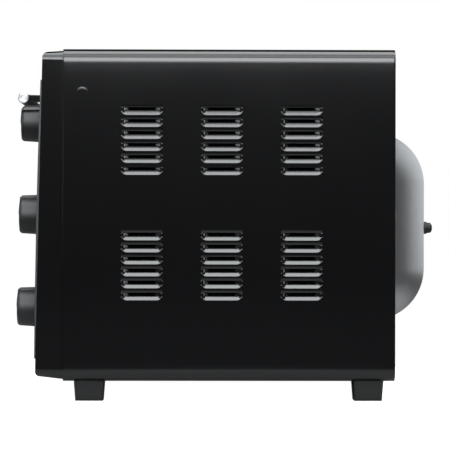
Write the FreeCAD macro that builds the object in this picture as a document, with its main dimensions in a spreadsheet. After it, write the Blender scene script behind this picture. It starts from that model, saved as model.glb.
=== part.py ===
import FreeCAD, Part
import math
import os
import re
import Sketcher

# A countertop toaster oven with a drop-down door on the left, three knobs on the right, louvred
# sides, and a pressed bulge at the back of the cavity. +Z is up, the door faces -Y, and the controls
# are at +X. The origin is on the table, in the middle of the oven's width and depth.

os.makedirs("parts", exist_ok=True)
doc = FreeCAD.newDocument("toaster_oven")
sheet = doc.addObject("Spreadsheet::Sheet", "dims")

# ---------------------------------------------------------------- sizes, in millimetres and degrees

SIZES = {
    # outer case: one folded sheet over the top, both sides and a little way under the floor
    "body_width": 480, "wrap_depth": 306, "wrap_height": 305.1, "foot_height": 19.2,
    "wrap_corner": 11, "wall": 0.8, "lining": 0.6, "turned_edge": 34,
    # how far the handle stands ahead of the case, and the rear bumper behind it
    "handle_reach": 49.6, "bumper_reach": 62.4,
    # louvres and stiffening rib of each side panel
    "louvre_length": 38.6, "louvre_opening": 7.4, "louvre_pitch": 11.04, "louvre_rows": 6,
    "louvre_columns": 3, "column_pitch": 73.6, "first_column": 53.2, "upper_group": 189.3,
    "lower_group": 73.8, "louvre_press": 4.2, "rib_width": 12.6, "rib_length": 234, "rib_rise": 0.5,
    "rib_inset": 11.4, "rib_bottom": 36.6,
    # front frame: a moulded surround that leans back a little
    "face_tilt": 1.22, "bezel_foot": 25.8, "bezel_inset": 1.4, "bezel_lift": 1.3,
    "bezel_draft": 5, "bezel_wall": 2.5, "bezel_brow": 5.2, "bezel_chin": 4.2, "plate_gap": 1.5,
    "plate_corner": 5, "panel_ledge": 5,
    # door, hung on two sprung pins along its lower edge
    "door_left": -230, "door_right": 120, "door_bottom": 28, "door_top": 289, "door_front": 1,
    "door_thick": 16, "door_gap": 1.5, "window_side": 27, "window_low": 44, "window_high": 40,
    "glass_thick": 4, "glass_lap": 9, "hinge_pin": 2.5, "running_gap": 0.05, "window_corner": 6,
    "pin_head": 4, "pin_head_thick": 1, "pin_reach": 22, "pin_hole": 23, "bracket_thick": 1.5,
    "bracket_foot": 3.2, "bracket_half": 7, "bracket_nose": 5.5, "spring_well": 10.5,
    "spring_radius": 5.7, "spring_hole": 3.3, "spring_groove": 0.6, "spring_wire": 1.3,
    "spring_pitch": 1.7, "spring_turns": 5,
    # handle
    "handle_tube": 5.35, "handle_bore": 4.2, "handle_height": 266, "handle_left": -218,
    "handle_right": 109, "arm_width": 15, "arm_height": 6.4, "arm_inset": 6, "plug_chamfer": 0.6,
    "plug_collar": 2.95, "plug_length": 9, "handle_screw": 2, "handle_screw_head": 4,
    "handle_screw_rise": 2.4, "door_web": 6,
    # control panel, knobs and what they turn
    "panel_left": 127, "panel_right": 235, "panel_bottom": 20, "panel_top": 277, "panel_seat": 1.4,
    "panel_proud": 1.2, "panel_bow": 1, "knob_x": 184, "knob_setting": 45, "knob_low": 65.1,
    "knob_pitch": 86.6, "knob_radius": 17.4, "knob_length": 16.6, "knob_dome": 1.3,
    "knob_draft": 2.6, "knob_gap": 1, "pointer_rise": 2.3, "pointer_width": 3, "shaft_radius": 3,
    "shaft_engaged": 11.5, "lamp_radius": 3.4, "lamp_height": 196, "lens_rise": 1,
    "lens_collar": 1.2,
    # what the knobs turn: thermostat, heat switch, clockwork timer and its bell
    "switch_corner": 2, "thermostat_width": 38, "thermostat_height": 28, "thermostat_deep": 9,
    "thermostat_head_width": 26, "thermostat_head_height": 34, "thermostat_head_deep": 13,
    "switch_radius": 20, "switch_deep": 14, "switch_back": 30, "switch_back_deep": 10,
    "timer_radius": 24, "timer_deep": 22, "timer_post": 3, "timer_post_deep": 5, "bell_radius": 22,
    "bell_crown": 15, "bell_rise": 4,
    # cavity and the shelves in it
    "cavity_left": -222, "cavity_right": 108, "cavity_bottom": 22, "cavity_top": 283,
    "cavity_back_gap": 16, "cavity_ledge": 10, "cavity_flange": 8, "shield_gap": 13, "rack_low": 88,
    "rack_wire": 2.4, "rung_wire": 1.5, "rung_pitch": 19, "rack_drop": 0.4, "rack_bend": 14,
    "rail_drop": 9, "rail_reach": 9, "rail_thick": 1, "rail_spacing": 58, "rack_gap": 0.6,
    # pressed bulge at the back of the cavity, and its bumper
    "bulge_reach": 53.4, "bulge_radius": 172, "bulge_round": 53, "bulge_turn": 62,
    "bulge_flat_low": 118, "bulge_flat_high": 205, "opening_gap": 1.5, "bumper_height": 160,
    "bumper_base": 6.4, "bumper_tip": 5.4, "bumper_stem": 3, "bumper_barb": 0.8,
    "bumper_barb_length": 3, "bumper_bevel": 1.6,
    # rear cover
    "cover_flange": 12, "cover_slot_length": 50, "cover_slot_width": 3.5, "cover_slot_pitch": 9,
    "cover_slots": 12, "cover_slot_side": 45, "cover_slot_low": 130, "cover_screw_side": 9,
    "cover_screw_end": 14,
    # cord gland in the rear cover, and the block that its lead would run to; the cord is left out
    "gland_x": 185, "gland_z": 62, "gland_radius": 7, "gland_bore": 3.6, "gland_deep": 6,
    "gland_lip": 2, "gland_rise": 3, "terminal_length": 44, "terminal_width": 18,
    "terminal_height": 15, "terminal_groove": 1,
    # heating elements
    "element_radius": 4, "element_drop": 26, "element_rise": 30, "element_front": 80,
    "element_rear": 205, "element_end": 11, "bush_radius": 7, "bush_length": 10, "bush_flange": 2.5,
    "bush_flange_thick": 4,
    # crumb tray
    "tray_bottom": 6.5, "tray_height": 9, "tray_left": -212, "tray_right": 98, "tray_back_gap": 69.8,
    "tray_lip": 13, "tray_overlap": 6, "tray_pull": 4.6, "tray_pull_inset": 60,
    "tray_rail_gap": 58, "tray_rail_reach": 7, "tray_rail_rise": 6,
    # floor, and the air slots under the controls
    "floor_inset": 16, "vent_length": 52, "vent_width": 6, "vent_pitch": 16, "vents": 8,
    "vent_front": 60, "vent_side": 20,
    # feet
    "foot_length": 28.8, "foot_width": 31, "foot_draft": 4.4, "foot_inset": 9.6, "foot_side": 9,
    "foot_corner": 4, "foot_well": 6, "foot_roof": 5,
    # screws
    "screw_head": 3.4, "screw_rise": 1.6, "screw_shank": 1.6,
}

# Places that follow from those sizes. Depths into the front face are measured from its plane.
PLACES = {
    "half_width": "body_width / 2",
    "wrap_front": "(handle_reach - wrap_depth - bumper_reach) / 2",
    "wrap_rear": "wrap_front + wrap_depth",
    "wrap_top": "foot_height + wrap_height",
    "face_foot": "wrap_front - bezel_foot",
    "bezel_half": "half_width - bezel_inset",
    "bezel_top": "(wrap_height - bezel_inset + bezel_lift) / cos(face_tilt)",
    "door_back": "door_front + door_thick",
    "plate_depth": "door_back + plate_gap",
    "hinge_depth": "door_front + door_thick / 2",
    "hinge_height": "door_bottom + door_thick / 2",
    "window_left": "door_left + window_side",
    "window_right": "door_right - window_side",
    "window_bottom": "door_bottom + window_low",
    "window_top": "door_top - window_high",
    "handle_drop": "handle_reach - bezel_foot + handle_height * sin(face_tilt) - handle_tube",
    "knob_base": "panel_proud + panel_bow + knob_gap",
    "cavity_rear": "wrap_rear - cavity_back_gap",
    "cavity_floor": "foot_height + cavity_bottom",
    "cavity_roof": "foot_height + cavity_top",
    "shield_x": "cavity_right + shield_gap",
    "rack_height": "foot_height + rack_low",
    "rack_front": "wrap_front + 4",
    "rack_rear": "cavity_rear - 6",
    "rack_left": "cavity_left + lining + rack_gap + 1",
    "rack_right": "cavity_right - lining - rack_gap - 1",
    "bulge_x": "(cavity_left + cavity_right) / 2",
    "bulge_axis": "wrap_rear + bulge_reach - bulge_radius",
    "bulge_root": "bulge_radius - bulge_reach",
    "bulge_seat": "bulge_root - cavity_back_gap",
    "tray_floor": "foot_height + tray_bottom",
    "tray_depth": "wrap_depth + bezel_foot - tray_back_gap",
}

WORD = re.compile(r"[A-Za-z_][A-Za-z_0-9]*")
SIDES = (-1, 1)


def spell(match):
    """Turn one word of an expression into its sheet cell, or into the formula that it stands for."""
    word = match.group()
    if word in PLACES:
        return "(" + WORD.sub(spell, PLACES[word]) + ")"
    return "dims." + word if word in SIZES else word


def formula(words):
    return WORD.sub(spell, str(words))


def value(words):
    return float(sheet.evalExpression(formula(words)))


for row, (name, size) in enumerate(SIZES.items(), start=1):
    sheet.set(f"A{row}", name)
    sheet.set(f"B{row}", str(size))
    sheet.setAlias(f"B{row}", name)
doc.recompute()

# ---------------------------------------------------------------- drawing and features

NORMAL = {"XY": 1, "XZ": -1, "YZ": 1}
FRONT_FRAME = ("0", "face_foot", "foot_height")
sketch_plane = {}
closed_by_cut = []


def bind(thing, place, words):
    thing.setExpression(place, formula(words))


def origin_part(body, role):
    return next(part for part in body.Origin.OriginFeatures if part.Role == role)


def new_body(label, at=("0", "0", "0"), leans=False):
    """A piece modelled about its own origin; a leaning one lies in the plane of the front face."""
    body = doc.addObject("PartDesign::Body", label)
    body.Label = label
    if leans:
        tilt = FreeCAD.Rotation(FreeCAD.Vector(1, 0, 0), -1)
        body.Placement = FreeCAD.Placement(FreeCAD.Vector(), tilt)
        bind(body, "Placement.Rotation.Angle", "-face_tilt")
    for axis, words in zip("xyz", at):
        bind(body, f"Placement.Base.{axis}", words)
    return body


def new_sketch(body, plane, at="0"):
    """A sketch on an origin plane of the body, moved along the third axis to the place given."""
    drawing = body.newObject("Sketcher::SketchObject", "outline")
    drawing.AttachmentSupport = (origin_part(body, plane + "_Plane"), [""])
    drawing.MapMode = "FlatFace"
    bind(drawing, "AttachmentOffset.Base.z", f"({at}) * {NORMAL[plane]}")
    sketch_plane[drawing.Name] = plane
    return drawing


def step_towards(start, end):
    """The unit step, along one axis of the sketch, from one corner towards another."""
    gaps = [value(end[i]) - value(start[i]) for i in (0, 1)]
    return [0 if abs(gap) < 1e-6 else int(math.copysign(1, gap)) for gap in gaps]


def round_corners(corners):
    """Split each corner that has a radius into the two ends of its arc."""
    spots = []
    for i, corner in enumerate(corners):
        across, up = corner[:2]
        if len(corner) == 4:
            spots.append((across, up, corner[2], corner[3]))
            continue
        if len(corner) == 2:
            spots.append((across, up, None, 0))
            continue
        radius = corner[2]
        back = step_towards(corner, corners[i - 1])
        ahead = step_towards(corner, corners[(i + 1) % len(corners)])
        turn = int(math.copysign(1, ahead[0] * back[1] - ahead[1] * back[0]))
        for (over, rise), ends in ((back, (radius, turn)), (ahead, (None, 0))):
            spots.append((f"{across} + {over} * ({radius})", f"{up} + {rise} * ({radius})", *ends))
    return spots


def draw_outline(drawing, corners):
    """
    Draw a closed outline whose every corner is tied to the sheet. A corner is (across, up), or
    (across, up, radius) for a rounded one between edges along the axes, or
    (across, up, radius, turn) where the edge that starts there is an arc, +1 turning left.
    """
    spots = round_corners(corners)
    first = drawing.GeometryCount
    ends = []
    for i, (across, up, radius, turn) in enumerate(spots):
        beyond = spots[(i + 1) % len(spots)]
        start = FreeCAD.Vector(value(across), value(up), 0)
        end = FreeCAD.Vector(value(beyond[0]), value(beyond[1]), 0)
        if radius is None:
            drawing.addGeometry(Part.LineSegment(start, end), False)
            ends.append((1, 2))
            continue
        reach = value(radius)
        chord = end - start
        rise = math.sqrt(max(reach ** 2 - (chord.Length / 2) ** 2, 0))
        left = FreeCAD.Vector(-chord.y, chord.x, 0).normalize()
        centre = (start + end) * 0.5 + left * rise * turn
        angles = [math.atan2(spot.y - centre.y, spot.x - centre.x) for spot in (start, end)]
        circle = Part.Circle(centre, FreeCAD.Vector(0, 0, 1), reach)
        drawing.addGeometry(Part.ArcOfCircle(circle, *angles[::turn]), False)
        ends.append((1, 2) if turn > 0 else (2, 1))
    for i, (across, up, radius, turn) in enumerate(spots):
        here = first + i
        after = first + (i + 1) % len(spots)
        drawing.addConstraint(
            Sketcher.Constraint("Coincident", here, ends[i][1], after, ends[(i + 1) % len(spots)][0]))
        for kind, words in (("DistanceX", across), ("DistanceY", up)):
            tie = Sketcher.Constraint(kind, -1, 1, here, ends[i][0], value(words))
            bind(drawing, f"Constraints[{drawing.addConstraint(tie)}]", words)
        if radius is None:
            continue
        beyond = spots[(i + 1) % len(spots)]
        chord = [value(beyond[axis]) - value((across, up)[axis]) for axis in (0, 1)]
        if math.hypot(*chord) < 1.9999 * value(radius):
            tie = Sketcher.Constraint("Radius", here, value(radius))
            bind(drawing, f"Constraints[{drawing.addConstraint(tie)}]", radius)
            continue
        # a half circle: its centre is level with its ends, along or across the sketch
        kind, words = ("DistanceY", up) if abs(chord[1]) < 1e-6 else ("DistanceX", across)
        tie = Sketcher.Constraint(kind, -1, 1, here, 3, value(words))
        bind(drawing, f"Constraints[{drawing.addConstraint(tie)}]", words)


def draw_box(drawing, left, low, right, high, radius=None):
    corners = [(left, low), (right, low), (right, high), (left, high)]
    draw_outline(drawing, [corner + (radius,) for corner in corners] if radius else corners)


def draw_slot(drawing, left, low, right, high):
    """An upright slot with full-round ends."""
    radius = f"(({right}) - ({left})) / 2"
    draw_outline(drawing, [
        (left, f"({low}) + {radius}", radius, 1), (right, f"({low}) + {radius}"),
        (right, f"({high}) - {radius}", radius, 1), (left, f"({high}) - {radius}")])


def draw_circle(drawing, across, up, radius):
    here = drawing.GeometryCount
    centre = FreeCAD.Vector(value(across), value(up), 0)
    drawing.addGeometry(Part.Circle(centre, FreeCAD.Vector(0, 0, 1), value(radius)), False)
    for kind, words in (("DistanceX", across), ("DistanceY", up)):
        tie = Sketcher.Constraint(kind, -1, 1, here, 3, value(words))
        bind(drawing, f"Constraints[{drawing.addConstraint(tie)}]", words)
    tie = Sketcher.Constraint("Radius", here, value(radius))
    bind(drawing, f"Constraints[{drawing.addConstraint(tie)}]", radius)


def pad(body, drawing, length, towards=1, taper=None):
    """Raise the drawing along its third axis, towards +1 or -1."""
    feature = body.newObject("PartDesign::Pad", "pad")
    feature.Profile = drawing
    feature.Reversed = towards != NORMAL[sketch_plane[drawing.Name]]
    bind(feature, "Length", length)
    if taper:
        bind(feature, "TaperAngle", taper)
    return feature


def cut(body, drawing, length, towards=1):
    feature = body.newObject("PartDesign::Pocket", "cut")
    feature.Profile = drawing
    feature.Reversed = towards == NORMAL[sketch_plane[drawing.Name]]
    bind(feature, "Length", length)
    closed_by_cut.append((feature, feature.BaseFeature))
    return feature


def turn(body, drawing, about, angle="360", both_ways=False):
    """Spin the drawing about one of its own axes, or about an axis of the body."""
    feature = body.newObject("PartDesign::Revolution", "turned")
    feature.Profile = drawing
    feature.ReferenceAxis = about
    bind(feature, "Angle", angle)
    feature.Midplane = both_ways
    return feature


def hollow_turn(body, drawing, about, angle, both_ways=False):
    feature = body.newObject("PartDesign::Groove", "hollow")
    feature.Profile = drawing
    feature.ReferenceAxis = about
    bind(feature, "Angle", angle)
    feature.Midplane = both_ways
    closed_by_cut.append((feature, feature.BaseFeature))
    return feature


def repeat(body, features, axis, spacing, count, second=None):
    """Repeat features along one or two axes of the body, at a spacing."""
    doc.recompute()
    pattern = body.newObject("PartDesign::LinearPattern", "row")
    pattern.Originals = features
    for suffix, step in (("", (axis, spacing, count)), ("2", second)):
        if step is None:
            continue
        setattr(pattern, "Direction" + suffix, (origin_part(body, step[0] + "_Axis"), [""]))
        bind(pattern, "Length" + suffix, f"({step[1]}) * ({step[2]} - 1)")
        bind(pattern, "Occurrences" + suffix, step[2])
    body.Tip = pattern
    return pattern


def mirror(body, plane="YZ"):
    """Join the piece so far with its mirror image."""
    doc.recompute()
    feature = body.newObject("PartDesign::Mirrored", "mirrored")
    feature.TransformMode = "Whole shape"
    feature.MirrorPlane = (origin_part(body, plane + "_Plane"), [""])
    body.Tip = feature
    return feature


def plain_box(body, plane, at, thick, left, low, right, high, radius=None, towards=1):
    drawing = new_sketch(body, plane, at)
    draw_box(drawing, left, low, right, high, radius)
    return pad(body, drawing, thick, towards)


def cut_box(body, plane, at, depth, left, low, right, high, radius=None, towards=1):
    drawing = new_sketch(body, plane, at)
    draw_box(drawing, left, low, right, high, radius)
    return cut(body, drawing, depth, towards)


def rod(body, plane, at, length, across, up, radius, towards=1, taper=None):
    drawing = new_sketch(body, plane, at)
    draw_circle(drawing, across, up, radius)
    return pad(body, drawing, length, towards, taper)


def bore(body, plane, at, depth, across, up, radius, towards=1):
    drawing = new_sketch(body, plane, at)
    draw_circle(drawing, across, up, radius)
    return cut(body, drawing, depth, towards)


pieces = []


def keep(piece):
    pieces.append(piece)
    return piece


# ---------------------------------------------------------------- outer case


def lean_place(across, depth, up):
    """Where a point of the leaning front face lies: across, into the face, and up along it."""
    return (f"({across})",
            f"face_foot + ({depth}) * cos(face_tilt) + ({up}) * sin(face_tilt)",
            f"foot_height - ({depth}) * sin(face_tilt) + ({up}) * cos(face_tilt)")


def trim_front(body, depth):
    """Cut an upright piece back to a plane parallel to the leaning front face."""
    drawing = new_sketch(body, "YZ", "-body_width")
    low = lean_place("0", depth, "-60")
    high = lean_place("0", depth, "wrap_height + 60")
    draw_outline(drawing, [
        (f"{low[1]} - 90", low[2]), low[1:], high[1:], (f"{high[1]} - 90", high[2])])
    return cut(body, drawing, "2 * body_width")


def outer_wrap():
    """Folded steel sheet: top, sides, and edges turned in under the floor, with louvres and ribs."""
    body = new_body("outer_wrap")
    drawing = new_sketch(body, "XZ", "wrap_front")
    inner = "wrap_corner - wall"
    draw_outline(drawing, [
        ("half_width - turned_edge", "foot_height"), ("half_width", "foot_height", "wrap_corner"),
        ("half_width", "wrap_top", "wrap_corner"), ("0", "wrap_top"), ("0", "wrap_top - wall"),
        ("half_width - wall", "wrap_top - wall", inner),
        ("half_width - wall", "foot_height + wall", inner),
        ("half_width - turned_edge", "foot_height + wall")])
    pad(body, drawing, "wrap_depth")
    rib = new_sketch(body, "YZ", "half_width - wall / 2")
    rib_front = "wrap_front + rib_inset"
    draw_slot(rib, rib_front, "foot_height + rib_bottom", f"{rib_front} + rib_width",
              "foot_height + rib_bottom + rib_length")
    pad(body, rib, "rib_rise + wall / 2")
    for start in ("upper_group", "lower_group"):
        low = f"foot_height + {start}"
        front = "wrap_front + first_column"
        opening = cut_box(body, "YZ", "half_width + 1", "wall + 2", front, low,
                          f"{front} + louvre_length", f"{low} + louvre_opening", None, -1)
        flap = new_sketch(body, "XZ", front)
        draw_outline(flap, [
            ("half_width - wall", f"{low} - wall"), ("half_width", low),
            ("half_width - louvre_press", f"{low} + louvre_opening - wall"),
            ("half_width - louvre_press - wall", f"{low} + louvre_opening - wall")])
        vane = pad(body, flap, "louvre_length")
        repeat(body, [opening, vane], "Z", "louvre_pitch", "louvre_rows",
               ("Y", "column_pitch", "louvre_columns"))
    mirror(body)
    return body


FOOT_PLACES = [
    (f"{sign} * (half_width - foot_side - foot_width / 2)", run)
    for sign in SIDES
    for run in ("wrap_front + foot_inset + foot_length / 2",
                "wrap_rear - foot_inset - foot_length / 2")]
FOOT_NAMES = ["foot_front_left", "foot_rear_left", "foot_front_right", "foot_rear_right"]


def base_plate():
    """Floor of the case: a sheet that lies on the wrap's turned edges, slotted for air."""
    body = new_body("base_plate")
    side = "half_width - wrap_corner"
    low = "foot_height + wall"
    plain_box(body, "XY", low, "wall", f"-({side})", "wrap_front + 1", side,
              "wrap_rear - floor_inset")
    left = "shield_x + vent_side"
    front = "wrap_front + vent_front"
    slot = cut_box(body, "XY", f"{low} - 1", "wall + 2", left, front, f"{left} + vent_length",
                   f"{front} + vent_width")
    repeat(body, [slot], "Y", "vent_pitch", "vents")
    return body


def drill_feet(body):
    """Clearance holes for the screws that hold the feet."""
    drawing = new_sketch(body, "XY", "foot_height - 1")
    for across, along in FOOT_PLACES:
        draw_circle(drawing, across, along, "screw_shank + 0.2")
    return cut(body, drawing, "3 * wall + 2")


def foot(name, across, along):
    """Moulded foot with drafted sides, solid at the top where its screw goes up into the floor."""
    body = new_body(name, (across, along, "foot_height"))
    drawing = new_sketch(body, "XY")
    draw_box(drawing, "-foot_width / 2", "-foot_length / 2", "foot_width / 2", "foot_length / 2",
             "foot_corner")
    pad(body, drawing, "foot_height", -1, "-foot_draft")
    bore(body, "XY", "-foot_height - 1", "foot_height + 1 - foot_roof", "0", "0", "foot_well")
    bore(body, "XY", "-foot_height - 1", "foot_height + 2", "0", "0", "screw_shank + 0.2")
    return body


def foot_screws():
    """Four pan-head screws, each up through a foot, the wrap's turned edge and the floor."""
    body = new_body("foot_screws")
    body.AllowCompound = True
    seat = "(foot_height - foot_roof - 0.03)"
    heads = new_sketch(body, "XY", f"{seat} - screw_rise")
    shanks = new_sketch(body, "XY", f"{seat} - 0.5")
    for across, along in FOOT_PLACES:
        draw_circle(heads, across, along, "screw_head")
        draw_circle(shanks, across, along, "screw_shank")
    pad(body, heads, "screw_rise")
    pad(body, shanks, "foot_roof + 2 * wall + 0.5")
    return body


# ---------------------------------------------------------------- back


def back_screw_places():
    side = "(half_width - cover_screw_side)"
    low = "foot_height + cover_screw_end"
    high = "wrap_top - cover_screw_end"
    middle = "foot_height + wrap_height / 2"
    places = [(f"{sign} * {side}", level) for sign in SIDES for level in (low, middle, high)]
    return places + [("-half_width / 3", high), ("half_width / 3", high)]


def draw_bulge(body, spare, base):
    """
    Half of the bulge's upright section, measured from the upright axis of its curve in plan: a flat
    back between two arcs, each running out along a straight slope to the distance named base.
    """
    drawing = new_sketch(body, "YZ", "0")
    round_by = f"(bulge_round + {spare})"
    knee = f"bulge_radius - bulge_round + {round_by} * cos(bulge_turn)"
    rise = f"{round_by} * sin(bulge_turn)"
    run_out = f"({knee} - ({base})) / tan(bulge_turn)"
    back = f"bulge_radius + {spare}"
    draw_outline(drawing, [
        (base, f"bulge_flat_low - {rise} - {run_out}"),
        (knee, f"bulge_flat_low - {rise}", round_by, 1),
        (back, "bulge_flat_low"), (back, "bulge_flat_high", round_by, 1),
        (knee, f"bulge_flat_high + {rise}"), (base, f"bulge_flat_high + {rise} + {run_out}")])
    return drawing


def turn_bulge(body, spare, base, feature):
    drawing = draw_bulge(body, spare, base)
    return feature(body, drawing, (origin_part(body, "Z_Axis"), [""]), "170", True)


def back_panel():
    """Rear cover, screwed on inside the wrap's rear edge, open where the bulge comes through."""
    body = new_body("back_panel", ("bulge_x", "bulge_axis", "0"))
    side = "(half_width - wall - 0.4)"
    left = f"-{side} - bulge_x"
    right = f"{side} - bulge_x"
    low = "foot_height + 2 * wall + 0.3"
    high = "wrap_top - wall - 0.4"
    corner = "wrap_corner - 2 * wall"
    inside = "bulge_root - 0.6 - wall"
    plain_box(body, "XZ", inside, "wall", left, low, right, high, corner)
    edge = new_sketch(body, "XZ", inside)
    draw_box(edge, left, low, right, high, corner)
    draw_box(edge, f"{left} + wall", f"{low} + wall", f"{right} - wall", f"{high} - wall",
             f"{corner} - wall")
    pad(body, edge, "cover_flange", -1)
    turn_bulge(body, "opening_gap", "bulge_root - 8", hollow_turn)
    slot_end = "half_width - cover_slot_side - bulge_x"
    slot_low = "foot_height + cover_slot_low"
    slot = cut_box(body, "XZ", f"{inside} - 2", "wall + 4", f"{slot_end} - cover_slot_length", slot_low,
                   slot_end, f"{slot_low} + cover_slot_width")
    repeat(body, [slot], "Z", "cover_slot_pitch", "cover_slots")
    holes = new_sketch(body, "XZ", f"{inside} - 2")
    for across, up in back_screw_places():
        draw_circle(holes, f"{across} - bulge_x", up, "screw_shank + 0.3")
    draw_circle(holes, "gland_x - bulge_x", "gland_z", "gland_radius")
    cut(body, holes, "wall + 4")
    return body


def cavity_back():
    """Back wall of the cavity, pressed out into a bulge that shows bare behind the rear cover."""
    body = new_body("cavity_back", ("bulge_x", "bulge_axis", "0"))
    plain_box(body, "XZ", "bulge_seat", "lining", "cavity_left - cavity_flange - bulge_x",
              "cavity_floor",
              "cavity_right + cavity_flange - bulge_x", "cavity_roof + cavity_flange")
    turn_bulge(body, "0", "bulge_seat - 14", turn)
    trim = new_sketch(body, "XY", "0")
    draw_box(trim, "-bulge_radius - 20", "-bulge_radius - 20", "bulge_radius + 20", "bulge_seat")
    cut(body, trim, "2 * wrap_height")
    turn_bulge(body, "-lining", "bulge_seat - 15", hollow_turn)
    bore(body, "XZ", "bulge_radius - 20", "40", "0", "bumper_height", "bumper_stem + 0.05")
    return body


def rear_bumper():
    """Rubber stop that keeps the bulge off the wall behind, with a stem pushed through the steel."""
    body = new_body("rear_bumper", ("bulge_x", "bulge_axis", "bumper_height"))
    drawing = new_sketch(body, "XY")
    tip = "bulge_radius + bumper_reach - bulge_reach"
    inside = "bulge_radius - lining - 0.3"
    draw_outline(drawing, [
        ("0", f"{inside} - bumper_barb_length"),
        ("bumper_stem + bumper_barb", f"{inside} - bumper_barb_length"),
        ("bumper_stem + bumper_barb", inside), ("bumper_stem", inside),
        ("bumper_stem", "bulge_radius + 0.2"), ("bumper_base", "bulge_radius + 0.2"),
        ("bumper_tip", f"{tip} - bumper_bevel"), ("bumper_tip - bumper_bevel", f"{tip} - 0.3"),
        ("0", tip)])
    turn(body, drawing, (origin_part(body, "Y_Axis"), [""]))
    return body


def cord_gland():
    """Moulded bush that lines the cord's hole in the rear cover, shown with no cord in it."""
    body = new_body("cord_gland", ("gland_x", "wrap_rear - 0.6 - wall", "gland_z"))
    drawing = new_sketch(body, "XY")
    lip = "gland_radius + gland_lip"
    neck = "gland_radius - 0.1"
    draw_outline(drawing, [
        ("gland_bore", "-gland_deep"), (neck, "-gland_deep"), (neck, "wall + 0.05"),
        (lip, "wall + 0.05"), (lip, "wall + gland_rise * 0.6"), ("gland_radius", "wall + gland_rise"),
        ("gland_bore", "wall + gland_rise")])
    turn(body, drawing, (origin_part(body, "Y_Axis"), [""]))
    return body


def back_screws():
    """Pan-head screws around the rear cover."""
    body = new_body("back_screws")
    body.AllowCompound = True
    face = "wrap_rear - 0.6 + 0.03"
    heads = new_sketch(body, "XZ", face)
    shanks = new_sketch(body, "XZ", f"{face} - 9")
    for across, up in back_screw_places():
        draw_circle(heads, across, up, "screw_head")
        draw_circle(shanks, across, up, "screw_shank")
    pad(body, heads, "screw_rise")
    pad(body, shanks, "9.5")
    return body


# ---------------------------------------------------------------- front


def front_bezel():
    """Moulded surround: a drafted shell with a reveal round the door and a seat for the panel."""
    body = new_body("front_bezel", FRONT_FRAME, True)
    rear = new_sketch(body, "XZ", "bezel_foot")
    draw_box(rear, "-bezel_half", "bezel_inset", "bezel_half", "bezel_top",
             "wrap_corner - bezel_inset")
    pad(body, rear, "bezel_foot", -1, "-bezel_draft")
    hollow = new_sketch(body, "XZ", "bezel_foot")
    draw_box(hollow, "-bezel_half + bezel_wall", "bezel_inset + bezel_wall", "bezel_half - bezel_wall",
             "bezel_top - bezel_wall", "wrap_corner - bezel_inset - bezel_wall")
    shell = cut(body, hollow, "bezel_foot - bezel_wall", -1)
    bind(shell, "TaperAngle", "-bezel_draft")
    left = "door_left - door_gap"
    right = "door_right + door_gap"
    low = "door_bottom - door_gap"
    high = "door_top + door_gap"
    reveal = new_sketch(body, "XZ", "bezel_wall / 2")
    draw_box(reveal, f"{left} - bezel_wall", f"{low} - bezel_wall", f"{right} + bezel_wall",
             f"{high} + bezel_wall")
    draw_box(reveal, left, low, right, high)
    pad(body, reveal, "plate_depth - 0.1 - bezel_wall / 2")
    cut_box(body, "XZ", "-1", "plate_depth", left, low, right, high)
    notch = new_sketch(body, "XZ", "bezel_wall")
    for edge, sign in ((left, -1), (right, 1)):
        ends = sorted((f"{edge} - {sign}", f"{edge} + {sign} * (bezel_wall + 0.2)"), key=value)
        draw_box(notch, ends[0], "hinge_height - 9", ends[1], "hinge_height + 9")
    cut(body, notch, "plate_depth")
    cut_box(body, "XZ", "-1", "panel_seat + 1", "panel_left - 0.2", "panel_bottom - 0.2",
            "panel_right + 0.2", "panel_top + 0.2")
    cut_box(body, "XZ", "-1", "bezel_wall + 2", "panel_left + panel_ledge",
            "panel_bottom + panel_ledge", "panel_right - panel_ledge", "panel_top - panel_ledge")
    cut_box(body, "XZ", "-1", "bezel_wall + 2", "tray_left - 1.5", "tray_bottom - 1.5",
            "tray_right + 1.5", "tray_bottom + tray_height + 1.5")
    seam = "bezel_foot / cos(face_tilt) - 0.1"
    square = new_sketch(body, "YZ", "-body_width")
    draw_outline(square, [
        (f"{seam} + 20 * tan(face_tilt)", "-20"), ("bezel_foot + 90", "-20"),
        ("bezel_foot + 90", "wrap_height + 20"),
        (f"{seam} - (wrap_height + 20) * tan(face_tilt)", "wrap_height + 20")])
    cut(body, square, "2 * body_width")
    shrink = "bezel_foot * tan(bezel_draft)"
    for edge, run, sign in ((f"(bezel_top - {shrink})", "bezel_brow", 1),
                            (f"(bezel_inset + {shrink})", "bezel_chin", -1)):
        round_off = new_sketch(body, "YZ", "-body_width")
        draw_outline(round_off, [
            ("-1", f"{edge} - {sign} * {run}"),
            ("0", f"{edge} - {sign} * {run}", f"{run} * tan(45 + bezel_draft / 2)", -sign),
            (f"{run} * cos(bezel_draft)", f"{edge} + {sign} * {run} * sin(bezel_draft)"),
            (f"{run} * cos(bezel_draft)", f"{edge} + {sign} * 9"), ("-1", f"{edge} + {sign} * 9")])
        cut(body, round_off, "2 * body_width")
    return body


def front_plate():
    """Steel plate behind the surround; it carries the cavity, the hinges and the controls."""
    body = new_body("front_plate", FRONT_FRAME, True)
    side = "bezel_half - bezel_wall - 1.6"
    plain_box(body, "XZ", "plate_depth", "wall", f"-({side})", "bezel_inset + bezel_wall + 1.2", side,
              "bezel_top - bezel_wall - 1.6", "plate_corner")
    cut_box(body, "XZ", "plate_depth - 1", "wall + 2", "cavity_left", "cavity_bottom + 2",
            "cavity_right", "cavity_top")
    cut_box(body, "XZ", "plate_depth - 1", "wall + 2", "tray_left - 2", "0",
            "tray_right + 2", "tray_bottom + tray_height + 2.5")
    holes = new_sketch(body, "XZ", "plate_depth - 1")
    for step in range(3):
        draw_circle(holes, "knob_x", f"knob_low + {step} * knob_pitch", "shaft_radius + 1.5")
    cut(body, holes, "wall + 2")
    return body


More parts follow.
